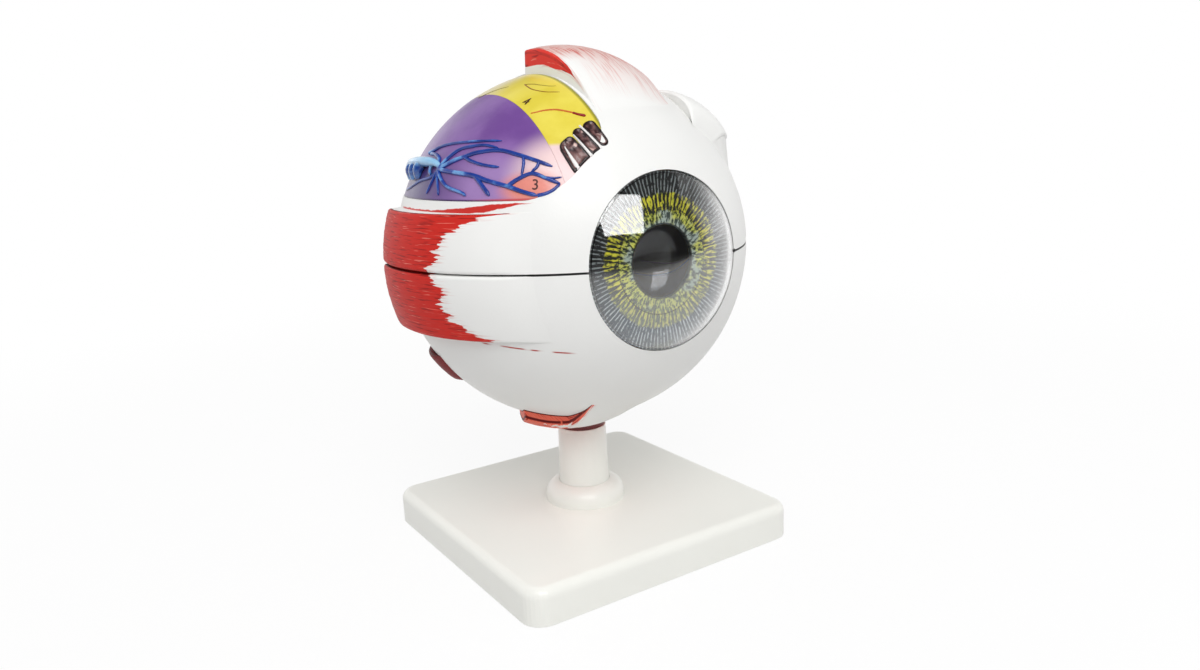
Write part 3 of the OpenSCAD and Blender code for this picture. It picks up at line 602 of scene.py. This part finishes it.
def relief(name, columns, rows, shape):
    """A padded patch: shape(column, row) gives its top point, its foot and its attributes."""
    bpy.ops.object.select_all(action="DESELECT")
    bpy.ops.mesh.primitive_grid_add(x_subdivisions=len(columns) - 1, y_subdivisions=len(rows) - 1, size=2)
    piece = bpy.context.object
    piece.name = name
    mesh = piece.data
    spots = []
    cell = mesh.attributes.new("cell", "INT", "POINT")
    for vertex in mesh.vertices:
        column = columns[round((vertex.co.x + 1) / 2 * (len(columns) - 1))]
        row = rows[round((vertex.co.y + 1) / 2 * (len(rows) - 1))]
        cell.data[vertex.index].value = len(spots)
        spots.append(shape(column, row))
    bpy.ops.object.mode_set(mode="EDIT")
    bpy.ops.mesh.select_all(action="SELECT")
    bpy.ops.mesh.extrude_region_move()
    bpy.ops.object.mode_set(mode="OBJECT")
    cells = [item.value for item in mesh.attributes["cell"].data]
    for key in spots[0][2]:
        values = [spots[c][2][key][0 if v.select else 1] for c, v in zip(cells, mesh.vertices)]
        mesh.attributes.new(key, "FLOAT", "POINT").data.foreach_set("value", values)
    for c, vertex in zip(cells, mesh.vertices):
        vertex.co = spots[c][0] if vertex.select else spots[c][1]
    mesh.attributes.remove(mesh.attributes["cell"])
    bpy.ops.object.mode_set(mode="EDIT")
    bpy.ops.mesh.select_all(action="SELECT")
    bpy.ops.mesh.normals_make_consistent(inside=False)
    bpy.ops.object.mode_set(mode="OBJECT")
    bpy.ops.object.shade_smooth_by_angle(angle=math.radians(40))
    return piece


def join(pieces, name):
    bpy.ops.object.select_all(action="DESELECT")
    for piece in pieces:
        piece.select_set(True)
    bpy.context.view_layer.objects.active = pieces[0]
    bpy.ops.object.join()
    pieces[0].name = name
    return pieces[0]


def by_sight(away, round_it, radius):
    """A point by its angle from the line of sight and the one round it, from the top to the temple."""
    away, round_it = math.radians(away), math.radians(round_it)
    return EYE + Vector((-math.sin(away) * math.sin(round_it), -math.cos(away),
                         math.sin(away) * math.cos(round_it))) * radius * mm


def comb_lobe(name, back, at_front, at_back, rim_height, hollow, corners):
    """A pad with its own start and finish at both ends, and its own corners at the front and the back."""
    middle = math.radians((COMB_FRONT + back) / 2)
    broad = (at_front[1] + at_back[1] - at_front[0] - at_back[0]) / 2
    wide = math.radians(broad) * math.sin(middle) * PANEL_R
    long = math.radians(back - COMB_FRONT) * PANEL_R

    def shape(across, along):
        from_side, from_end = min(across, wide - across), min(along, long - along)
        corner = min(corners[0 if along < long / 2 else 1], wide / 2.1)
        side, end, rim = round_corner(from_side, from_end, corner)
        across = side if across < wide / 2 else wide - side
        along = end if along < long / 2 else long - end
        t = along / long
        start, finish = (front + (rear - front) * t for front, rear in zip(at_front, at_back))
        drop = max(0.0, 1 - rim / 0.5) ** 2 * 0.35
        dent = hollow * min(1, max(0, rim - 0.8) / 0.7)
        lump = 0.3 * noise.noise(Vector((across * 0.8, along * 0.4, start))) if hollow and rim > 0.8 else 0
        turn = start + (finish - start) * across / wide
        away = COMB_FRONT + (back - COMB_FRONT) * t
        return (by_sight(away, turn, PANEL_R + max(rim_height - drop - dent + lump, 0.1)),
                by_sight(away, turn, PANEL_R - 0.1), {"rim": (rim, 0.0), "along": (t, t)})

    return relief(name, spread(wide, 0.35), spread(long, 0.4), shape)


def attributes(tree, *names):
    """Values that a relief keeps at its points."""
    return [wire(tree, "Attribute", attribute_name=name, out=2) for name in names]


def comb_colour(tree):
    rim, along = attributes(tree, "rim", "along")
    cloud = cloudy(tree, 560.0, 4.0)
    blot = cloudy(tree, 260.0, 1.0)
    inner = blend(tree, rising(tree, cloud, 0.4, 0.62), paint(58, 32, 36), paint(112, 78, 76))
    inner = blend(tree, both(tree, rising(tree, along, 0.5, 0.3), 0.35), inner, paint(170, 132, 126))
    inner = blend(tree, rising(tree, blot, 0.61, 0.68), inner, paint(212, 178, 170))
    uneven = calc(tree, "ADD", rim, swing(tree, cloud, 1.2))
    return blend(tree, rising(tree, uneven, 0.75, 1.3), paint(32, 12, 14), inner)


comb_brown = painted("dark brown wipe", comb_colour, 0.35, coat=0.3)
lobes = [comb_lobe("lobe", *place, 0.6, 0.4, (0.7, 2.4)) for place in COMB_LOBES[:2]]
lobes.append(comb_lobe("lobe", *COMB_LOBES[2], 0.6, 0.4, (2.4, 2.4)))
comb = join(lobes, "comb_lobes")
comb.data.materials.append(comb_brown)
wedges = join([comb_lobe("wedge", *place, 0.68, 0.0, (0.2, 0.3)) for place in COMB_WEDGES], "comb_wedges")
wedges.data.materials.append(painted("comb wedge white", paint(240, 238, 236), 0.4))
for piece in (comb, wedges):
    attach(piece, "upper_sclera")
    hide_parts("ciliary_comb")


# ---- Muscles ----
# Raised slabs cast on the shell, blunt where they are cut off at the back and running out into
# the white at the front. The belly is brushed red with fibre strokes and its edges are lined dark;
# a dark line along the foot of its red walls is painted shade.
MUSCLE_CORNER = 2.6
MUSCLE_EDGE = 1.2
FOOT_R = EYE_R - 0.6


def interpolate(points, at):
    """Value of a broken line, given as (place, value) in rising order."""
    if at <= points[0][0]:
        return points[0][1]
    for (x0, y0), (x1, y1) in zip(points, points[1:]):
        if at <= x1:
            return y0 + (y1 - y0) * (at - x0) / (x1 - x0)
    return points[-1][1]


def muscle(name, plane, side, direction, rise, fade, back, front, low, high, red, pink=0.0):
    """A slab seen along X ("side") or Z ("top"). low and high are its edges across the fibres and
    red(along, across, rim) gives the millimetres inside the red, on the top and at the foot.
    pink is how strongly its rear is washed pink where it isn't red."""
    lift = rise - 0.1
    shift = lift / (1 - math.cos(math.radians(fade)))
    middle = Vector(direction).normalized() * shift
    ball = EYE_R + lift - shift
    width = interpolate(high, back) - interpolate(low, back)

    def on_sphere(along, across, centre, radius):
        """The point of a sphere over a place in the plane, or None beside it."""
        if plane == "side":
            flat, out = (along - centre.y) ** 2 + (across - centre.z) ** 2, centre.x
        else:
            flat, out = (along - centre.y) ** 2 + (across - centre.x) ** 2, centre.z
        if flat >= radius ** 2:
            return None
        out += side * math.sqrt(radius ** 2 - flat)
        return Vector((out, along, across)) if plane == "side" else Vector((across, along, out))

    def shape(across, behind):
        along = back - behind
        lower, upper = interpolate(low, along), interpolate(high, along)
        edge = STEPS_AT_EDGE[-1]
        if across <= edge:
            from_low = across
        elif across >= width - edge:
            from_low = upper - lower - (width - across)
        else:
            from_low = edge + (across - edge) / (width - 2 * edge) * (upper - lower - 2 * edge)
        near_low = from_low < (upper - lower) / 2
        from_edge = from_low if near_low else upper - lower - from_low
        from_edge, from_back, rim = round_corner(from_edge, behind, MUSCLE_CORNER)
        rim = max(0.0, min(rim, along - front))
        along = back - from_back
        across = lower + from_edge if near_low else upper - from_edge
        foot = on_sphere(along, across, Vector(), FOOT_R)
        shell = on_sphere(along, across, Vector(), EYE_R)
        top = on_sphere(along, across, middle, ball)
        height = top.length - EYE_R if top and top.dot(shell) > 0 else -8.0
        outward = (top if height > -8 else shell).normalized()
        inside, at_foot = red(along, across, rim)
        smooth = 0.5 * (height + math.sqrt(height * height + 0.5)) - 0.08
        fibres = noise.noise(Vector((across * 1.15, along * 0.06, rise))) + 0.5 * noise.noise(
            Vector((across * 2.7, along * 0.11, rise + 9)))
        smooth -= (0.11 + 0.11 * fibres) * max(0.0, min(1.0, (inside + 2) / 4)) * min(1, max(height, 0))
        bend = min(MUSCLE_EDGE, 0.8 * max(smooth, 0))
        if rim < bend:
            smooth -= bend - math.sqrt(bend ** 2 - (bend - rim) ** 2)
        smooth -= (smooth + 0.15) * max(0.0, 1 - (along - front) / 9) ** 2
        wall = EYE_R + smooth - FOOT_R
        tint = pink * max(0.0, min(1.0, (along + 44) / 28)) * max(
            0.0, min(1.0, (across + 12 + 1.4 * max(0, along + 26)) / 13))
        return (EYE + outward * (EYE_R + smooth) * mm, EYE + foot * mm,
                {"inside": (inside, at_foot), "rim": (rim, wall), "foot": (wall if rim < 0.01 else 9.0, 0.0),
                 "tint": (tint if rim > 0.3 else 0.0, 0.0), "across": (across, across + 3),
                 "along": (along, along)})

    return relief(name, spread(width, 0.42), spread(back - front, 1.1), shape)


def muscle_colour(tree, red=MUSCLE_RED, lining=1.0):
    across, along, inside = attributes(tree, "across", "along", "inside")
    rim, foot, tint = attributes(tree, "rim", "foot", "tint")

    def strokes(fine, long, seed, detail=2.0):
        """Noise drawn out along the fibres."""
        place = wire(tree, "CombineXYZ", both(tree, across, fine), both(tree, along, long), seed)
        return wire(tree, "TexNoise", place, feed={"Scale": 1.0, "Detail": detail})

    dark = rising(tree, strokes(1.5, 0.09, 1.0), 0.55, 0.66)
    light = rising(tree, strokes(1.8, 0.09, 5.0), 0.62, 0.7)
    red_paint = blend(tree, both(tree, dark, 0.8), red, paint(140, 20, 18))
    red_paint = blend(tree, both(tree, light, 0.75), red_paint, paint(232, 130, 116))
    teeth = swing(tree, strokes(0.75, 0.03, 9.0, 4.0), 17.0)
    edge = calc(tree, "ADD", inside, teeth)
    mask = rising(tree, edge, -0.25, 0.25)
    blush = both(tree, rising(tree, edge, -5.0, 0.0), rising(tree, strokes(2.6, 0.1, 3.0), 0.5, 0.62))
    tendon = blend(tree, both(tree, blush, 0.45), SHELL_WHITE, paint(214, 120, 108))
    washed = blend(tree, both(tree, tint, 0.75), tendon, paint(222, 172, 164))
    streaks = both(tree, tint, rising(tree, strokes(1.4, 0.07, 13.0, 3.0), 0.52, 0.6))
    washed = blend(tree, streaks, washed, paint(204, 96, 86))
    colour = blend(tree, mask, washed, red_paint)
    uneven = rising(tree, strokes(0.3, 0.3, 7.0), 0.3, 0.4)
    outline = both(tree, both(tree, rising(tree, rim, 0.45, 0.1), mask), uneven)
    colour = blend(tree, both(tree, outline, lining), colour, paint(96, 14, 14))
    # a dark line along the foot of the red walls: painted shade where the slab meets the shell
    foot_shade_line = both(tree, both(tree, rising(tree, foot, 1.1, 0.85), mask), uneven)
    return blend(tree, foot_shade_line, colour, paint(84, 12, 12))


muscle_paint = painted("muscle red and tendon white", muscle_colour, 0.5, drift=0.05, Specular_IOR_Level=0.2)
# Lighter and darker copies of the muscle red: coral on the inferior rectus and a brighter red on the superior
# rectus are painted light on walls that lie in shade; dark red on the inferior oblique is painted shade of
# its shadow side
slab_paint = {}
for name, shade, red, lining in (("inferior_rectus", "coral", (236, 106, 84), 1.0),
                                 ("inferior_oblique", "dark red", (120, 20, 26), 1.0),
                                 ("superior_rectus", "bright red", (222, 52, 40), 0.3)):
    slab_paint[name] = painted("muscle " + shade, lambda tree: muscle_colour(tree, paint(*red), lining), 0.5,
                               Specular_IOR_Level=0.2)

lateral_upper_edge = ((-0.5, -20.0), (2.5, -20.8), (5, -24.0), (7.2, -23.4), (10.9, -23.8), (15.1, -28.0),
                      (18.3, -33.7), (21, -39.0), (22, -44.0))
lateral_lower_edge = ((-26, -42.0), (-23.5, -35.5), (-19.4, -29.3), (-16.7, -26.9), (-12.5, -24.8),
                      (-8.6, -24.7), (-6, -25.6), (-3.1, -22.6), (0, -21.0))


def belly(edge, white_above=None):
    """Red behind a broken line; the wall over white_above stays pale down to its foot."""
    def red(along, across, rim):
        inside = along - interpolate(edge, across)
        pale_wall = white_above is not None and across > white_above
        return -4.0 if pale_wall and rim < 0.2 else inside, -4.0 if pale_wall else inside
    return red


def top_red(along, across, rim):
    """Red on the upper half of its walls and a little way over their edge; washed pink on top."""
    on_edge = 9.0 if along > -19 else 0.9 * (along + 29)
    over_edge = 1.7 * (0.12 * (along + 29) - rim)
    return on_edge if rim < 0.3 and along > -29 else over_edge, 6.0 if along > 3 else -9.0


def low_red(along, across, rim):
    """Red on the walls and at the back, white underneath in front."""
    inside = max(along + 20, 3.2 - 2.6 * rim)
    return inside, 6.0


def hidden_red(along, across, rim):
    """White, but for the cut end at the back."""
    return (along + 2, along + 2) if along > -4 else (-30.0, -30.0)


def all_red(along, across, rim):
    return 9.0, 9.0


flat_low, flat_high = ((-60, -26.0), (30, -26.0)), ((-60, 22.0), (30, 22.0))
seam_over, seam_under = ((-60, 0.32), (30, 0.32)), ((-60, -0.32), (30, -0.32))
superior_left = ((-53.3, -14.0), (3.7, -17.0))
superior_right = ((-53.3, 16.3), (-34.0, 25.2), (3.7, 28.1))
oblique_left = ((-50.0, 31.2), (-28.1, 33.3), (-8.1, 30.3), (5.9, 30.3))
oblique_right = ((-50.0, 43.0), (-48.0, 46.0), (-40.0, 54.8), (-17.8, 57.0), (5.9, 48.1))
inferior_left = ((-45.1, -20.0), (-25.9, -22.2), (-14.8, -37.0), (11.8, -25.5))
inferior_right = ((-45.1, 11.8), (11.8, 14.8))
temple, nose = (-0.93, 0.3, -0.2), (0.93, 0.3, -0.1)
medial_upper_edge = ((0, -17.0), (6, -20.0), (12, -19.0), (18, -26.0), (22, -34.0))
medial_lower_edge = ((-26, -33.0), (-20, -24.0), (-12, -19.0), (-6, -21.0), (0, -17.0))
muscles = [
    ("lateral_rectus_upper", "upper_sclera", "side", -1, temple, 6.5, 69, 24, -55.8, seam_over, flat_high,
     belly(lateral_upper_edge, 21.9)),
    ("lateral_rectus_lower", "eyeball", "side", -1, temple, 6.5, 69, 24, -55.8, flat_low, seam_under,
     belly(lateral_lower_edge)),
    ("medial_rectus_upper", "upper_sclera", "side", 1, nose, 6.5, 62, 24, -48.5, seam_over, flat_high,
     belly(medial_upper_edge)),
    ("medial_rectus_lower", "eyeball", "side", 1, nose, 6.5, 62, 24, -48.5, flat_low, seam_under,
     belly(medial_lower_edge)),
    ("superior_rectus", "upper_sclera", "top", 1, (-0.07, 0.04, 1), 9.5, 48, 3.7, -53.3, superior_left,
     superior_right, top_red, 1.0),
    ("superior_oblique", "upper_sclera", "top", 1, (0.6, -0.5, 0.63), 7, 32, 5.9, -50.0, oblique_left,
     oblique_right, hidden_red),
    ("inferior_rectus", "eyeball", "top", -1, (-0.26, -0.06, -0.97), 5.2, 36, 11.8, -45.1, inferior_left,
     inferior_right, low_red),
    ("inferior_oblique", "eyeball", "side", -1, (-0.8, 0.22, -0.56), 2.9, 26, 36.3, 5.9,
     ((0, -52.6), (40, -52.6)), ((0, -40.0), (40, -40.0)), all_red)]
for name, body, *form in muscles:
    slab = muscle(name + "_slab", *form)
    slab.data.materials.append(slab_paint.get(name, muscle_paint))
    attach(slab, body)
    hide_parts(name)


# ---- Iris ----
# A thin disc behind the cornea, printed with the pupil's fringe and two rings of fibres and
# pressed with fine rays. Its hole is the pupil. Its lower part is painted paler, a painted
# reflection of the table in the cornea.
iris_low, iris_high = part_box("iris")
IRIS_FRONT, IRIS_BACK = iris_low.y / mm, iris_high.y / mm
IRIS_R = iris_high.x / mm
PUPIL_R = 13.7
INNER_RING, OUTER_RING = 20.0, 26.6


def spun(name, outline, steps):
    """A ring round the line of sight from a closed outline of (radius, place along Y), in millimetres."""
    bpy.ops.object.select_all(action="DESELECT")
    bpy.ops.mesh.primitive_plane_add(size=1)
    piece = bpy.context.object
    piece.name = name
    mesh = piece.data
    mesh.clear_geometry()
    points = [EYE + Vector((r, y, 0)) * mm for r, y in outline]
    mesh.from_pydata(points, [(i, (i + 1) % len(points)) for i in range(len(points))], [])
    bpy.ops.object.mode_set(mode="EDIT")
    bpy.ops.mesh.select_all(action="SELECT")
    bpy.ops.mesh.spin(steps=steps, angle=math.tau, center=EYE, axis=(0, 1, 0))
    bpy.ops.mesh.select_all(action="SELECT")
    bpy.ops.mesh.remove_doubles(threshold=0.01 * mm)
    bpy.ops.mesh.normals_make_consistent(inside=False)
    bpy.ops.object.mode_set(mode="OBJECT")
    bpy.ops.object.shade_smooth_by_angle(angle=math.radians(45))
    return piece


def polar(tree):
    """Distance from the line of sight in millimetres, and the direction away from it."""
    spot = use_group(tree, ball_place)
    flat = wire(tree, "CombineXYZ", spot["Side"], spot["Up"], 0.0)
    away = wire(tree, "VectorMath", flat, operation="LENGTH", out=1)
    return away, wire(tree, "VectorMath", flat, operation="NORMALIZE"), spot


def rays(tree, away, direction, count, long, seed, detail=2.0):
    """Noise drawn out along the rays, with about count streaks round the ring."""
    turned = wire(tree, "VectorMath", direction, feed={"Scale": count / math.tau}, operation="SCALE")
    depth = calc(tree, "ADD", both(tree, away, long), seed)
    place = wire(tree, "VectorMath", turned, wire(tree, "CombineXYZ", 0.0, 0.0, depth), operation="ADD")
    return wire(tree, "TexNoise", place, feed={"Scale": 1.0, "Detail": detail, "Roughness": 0.6})


def iris_colour(tree):
    away, direction, spot = polar(tree)
    angle = calc(tree, "ARCTAN2", spot["Up"], spot["Side"])
    fine = rays(tree, away, direction, 120.0, 0.5, 0.0, 3.0)
    bars = rays(tree, away, direction, 100.0, 0.16, 20.0)
    cloud = rays(tree, away, direction, 9.0, 0.1, 60.0)

    def spokes(count, unrest):
        """Even rays, pushed about by the noise of the bars: -1 between them, 1 on them."""
        turned = calc(tree, "ADD", both(tree, angle, float(count)), swing(tree, bars, float(unrest)))
        return calc(tree, "SINE", turned)

    # low runs from 0 at the top to 1 at the bottom: towards the bottom the outer zone is slate in place of
    # black, its lines whiter and a pale wash lies over the rest, a painted reflection of the table in the
    # cornea
    low = rising(tree, spot["Up"], 6.0, -28.0)
    inner = blend(tree, rising(tree, fine, 0.43, 0.49), paint(14, 18, 8), paint(122, 134, 34))
    inner = blend(tree, rising(tree, fine, 0.5, 0.55), inner, paint(222, 224, 96))
    inner = blend(tree, rising(tree, cloud, 0.5, 0.62), inner, blend(tree, rising(
        tree, fine, 0.46, 0.54), paint(40, 56, 52), paint(184, 200, 190)))
    bar_mask = rising(tree, spokes(78, 14), -0.2, 0.25)
    yellow = blend(tree, rising(tree, fine, 0.42, 0.54), paint(150, 154, 24), paint(238, 232, 58))
    middle = blend(tree, both(tree, bar_mask, rising(tree, fine, 0.36, 0.44)), paint(8, 10, 6), yellow)
    slate = blend(tree, low, paint(8, 12, 16), paint(58, 80, 96))
    line_mask = both(tree, rising(tree, spokes(118, 5), 0.3, 0.8), rising(tree, fine, 0.4, 0.5))
    outer = blend(tree, line_mask, slate, blend(tree, low, paint(160, 170, 172), paint(216, 226, 230)))
    wave = calc(tree, "ADD", away, swing(tree, bars, 4.0))
    wave = calc(tree, "ADD", wave, both(tree, calc(tree, "ABSOLUTE", spot["Up"]), 0.05))
    colour = blend(tree, rising(tree, wave, INNER_RING - 0.2, INNER_RING + 0.2), inner, middle)
    pale = blend(tree, both(tree, rising(tree, cloud, 0.5, 0.7), 0.15), colour, paint(150, 168, 160))
    # a pale wash over the lower part: painted reflection
    colour = blend(tree, both(tree, low, 0.4), pale, paint(182, 192, 176))
    colour = blend(tree, rising(tree, wave, OUTER_RING - 0.6, OUTER_RING + 0.2), colour, outer)
    for ring_r, width in ((INNER_RING, 0.22), (PUPIL_R + 0.2, 0.5), (IRIS_R, 0.9)):
        ring = rising(tree, calc(tree, "ABSOLUTE", calc(tree, "SUBTRACT", away, ring_r)), width, width * 0.5)
        colour = blend(tree, both(tree, ring, 0.85), colour, paint(12, 14, 14))
    return colour


face_steps = 56
face = [(PUPIL_R + (IRIS_R - PUPIL_R) * i / face_steps, IRIS_FRONT) for i in range(face_steps + 1)]
iris = spun("iris_disc", [*face, (IRIS_R, IRIS_BACK), (PUPIL_R, IRIS_BACK)], 300)
for vertex in iris.data.vertices:
    place = (vertex.co - EYE) / mm
    away = math.hypot(place.x, place.z)
    if abs(place.y - IRIS_FRONT) < 0.01 and PUPIL_R + 0.1 < away < IRIS_R - 0.1:
        ray = Vector((place.x, place.z, 0)) * (18 / away) + Vector((0, 0, away * 0.3))
        vertex.co.y += (0.14 + 0.14 * noise.noise(ray)) * mm
iris.data.materials.append(painted("iris print", iris_colour, 0.45, drift=0.0))
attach(iris, "iris")
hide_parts("iris")


# ---- Clear parts ----
# Cornea, lens and vitreous body are clear cast acrylic, the last two faintly tinted and the cornea
# varnished. Round the lens lie the zonule's threads and the dark folds of the ciliary ring.
def clear(name, colour, bending, gloss, coat=0.0):
    """Clear plastic with a slightly wavy surface."""
    material = bpy.data.materials.new(name)
    material.use_nodes = True
    tree = material.node_tree
    shader = tree.nodes["Principled BSDF"]
    for socket, value in (("Base Color", colour), ("Roughness", 0.03), ("IOR", bending),
                          ("Specular IOR Level", gloss), ("Transmission Weight", 1.0),
                          ("Coat Weight", coat), ("Coat IOR", 1.6)):
        shader.inputs[socket].default_value = value
    bump = wire(tree, "Bump", feed={"Distance": 0.0002, "Height": cloudy(tree, 30.0, 1.0)})
    tree.links.new(bump, shader.inputs["Normal"])
    return material


dress(["cornea"], clear("clear cornea", (1, 1, 1, 1), 1.49, 1.0, 1.0))
dress(["lens"], clear("clear lens", (0.97, 0.98, 1, 1), 1.42, 0.3))
dress(["vitreous_body"], clear("clear vitreous", (0.94, 0.98, 1, 1), 1.34, 0.3))


def folded(low, high, count):
    """Radial folds painted round the line of sight: lighter ridges, with painted shade in the creases."""
    def colour(tree):
        away, direction, spot = polar(tree)
        crease = rising(tree, rays(tree, away, direction, count, 0.08, 3.0), 0.42, 0.58)
        return blend(tree, crease, paint(*low), paint(*high))
    return colour


dress(["zonule"], painted("zonule threads", folded((176, 172, 190), (232, 230, 238), 160.0), 0.4))
dress(["ciliary_ring"], painted("ciliary folds", folded((44, 22, 18), (120, 70, 52), 70.0), 0.4))


# ---- Inner coats ----
# Two thin bowls nested in the shell: the violet coat with its mesh of veins, and bonded in it the
# orange retina. The retina's vessels are raised lines that fan out from the pale optic disc.
disc_turn, disc_rise = -165.8, -11.5


def choroid_colour(tree):
    cloud = rising(tree, cloudy(tree, 55.0, 3.0), 0.35, 0.65)
    off_line = calc(tree, "ABSOLUTE", calc(tree, "SUBTRACT", cloudy(tree, 48.0, 0.0, Distortion=1.2), 0.5))
    violet = blend(tree, cloud, paint(112, 68, 124), paint(138, 90, 142))
    return blend(tree, rising(tree, off_line, 0.03, 0.018), violet, paint(74, 40, 100))


def retina_colour(tree):
    spot = use_group(tree, ball_place)
    cloud = rising(tree, cloudy(tree, 60.0, 4.0), 0.35, 0.65)
    orange = blend(tree, cloud, paint(216, 138, 52), paint(232, 162, 76))
    spotted = blend(tree, patch(tree, spot, 172, -6, 5, 5, 0.6), orange, paint(168, 76, 30))
    return blend(tree, patch(tree, spot, disc_turn, disc_rise, 5.2, 5.2, 0.12), spotted, paint(246, 224, 150))


dress(["upper_choroid", "lower_choroid"], painted("choroid violet", choroid_colour, 0.4, drift=0.1))
dress(["upper_retina", "lower_retina"], painted("retina orange", retina_colour, 0.4, drift=0.1))

# places in degrees from the back pole, towards the nose and up
retina_routes = [
    [(14, -11), (10, 0), (0, 14), (-16, 24), (-36, 30), (-60, 30)], [(2, 11), (-4, 28), (-12, 46), (-18, 60)],
    [(14, -11), (22, 2), (34, 18), (52, 30), (72, 36)], [(28, 10), (30, 28), (28, 46)],
    [(14, -12), (8, -24), (-6, -34), (-26, -42), (-52, -44)], [(-2, -31), (-6, -46), (-6, -60)],
    [(14, -12), (24, -24), (38, -34), (58, -40)], [(14, -12), (24, -12), (42, -10), (62, -12)]]
VESSEL_R = 68.07                                 # inner face of the retina


def retina_vessels(name, body, colour, shift, upper):
    runs = []
    for route in retina_routes:
        moved = [(side + shift * (0.3 + 0.1 * i), up + shift * (0.2 + 0.12 * i))
                 for i, (side, up) in enumerate(route)]
        path = smooth_path(moved, 8)
        wide = 0.9 if len(route) > 4 else 0.6
        run = [(on_ball(180 + side, up, VESSEL_R), wide * (1.05 - i / len(path)) + 0.12)
               for i, (side, up) in enumerate(path) if (up > 0.6) == upper and abs(up) > 0.6]
        if len(run) > 2:
            runs.append(run)
    piece = tubes(name, runs)
    for vertex in piece.data.vertices:
        out = vertex.co - EYE
        vertex.co = EYE + out.normalized() * (VESSEL_R + 0.02 + (out.length / mm - VESSEL_R) * 0.25) * mm
    piece.data.materials.append(painted(name + " paint", paint(*colour), 0.35, drift=0.3))
    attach(piece, body)


for upper, body in ((True, "upper_choroid"), (False, "lower_choroid")):
    part = "upper" if upper else "lower"
    retina_vessels(part + "_retina_arteries", body, (186, 34, 24), 0.0, upper)
    retina_vessels(part + "_retina_veins", body, (44, 62, 150), 6.0, upper)


# ---- Optic nerve ----
# A short stump at the back: a pale sheath, the yellow nerve in it, an artery and a vein. The cut
# end of the nerve shows its bundles of fibres.
def bundle_colour(tree):
    cells = wire(tree, "TexVoronoi", wire(tree, "TexCoord", out=3), feed={"Scale": 620.0})
    return blend(tree, rising(tree, cells, 0.3, 0.6), paint(236, 212, 116), paint(196, 156, 66))


def sheath_colour(tree):
    where = wire(tree, "Mapping", wire(tree, "TexCoord", out=3), feed={"Scale": (1.0, 0.15, 1.0)})
    streak = wire(tree, "TexNoise", where, feed={"Scale": 420.0, "Detail": 3.0})
    return blend(tree, rising(tree, streak, 0.4, 0.62), paint(206, 184, 146), paint(236, 222, 192))


dress(["optic_nerve_sheath"], painted("sheath cream", sheath_colour, 0.45, drift=0.1))
dress(["optic_nerve"], painted("nerve yellow", bundle_colour, 0.45, drift=0.15))
dress(["central_retinal_artery"], painted("artery red", paint(190, 40, 34), 0.35))
dress(["central_retinal_vein"], painted("vein blue", paint(40, 70, 158), 0.35))


# ---- Stand ----
# A hollow moulded foot and a turned tube, both glossy warm white; a dark red neck joins them
# to the eye. Steel screws, washers and pins hold it together.
dress(["base_plate", "post"], painted("stand white", paint(243, 243, 237), 0.35, drift=0.03, coat=0.2))
dress(["stem_plug"], painted("neck red", paint(104, 20, 18), 0.4))
dress(["base_screws", "base_washers", "stem_screw", "stem_washer", "locating_pins"],
      painted("steel", paint(176, 178, 182), 0.3, Metallic=1.0))
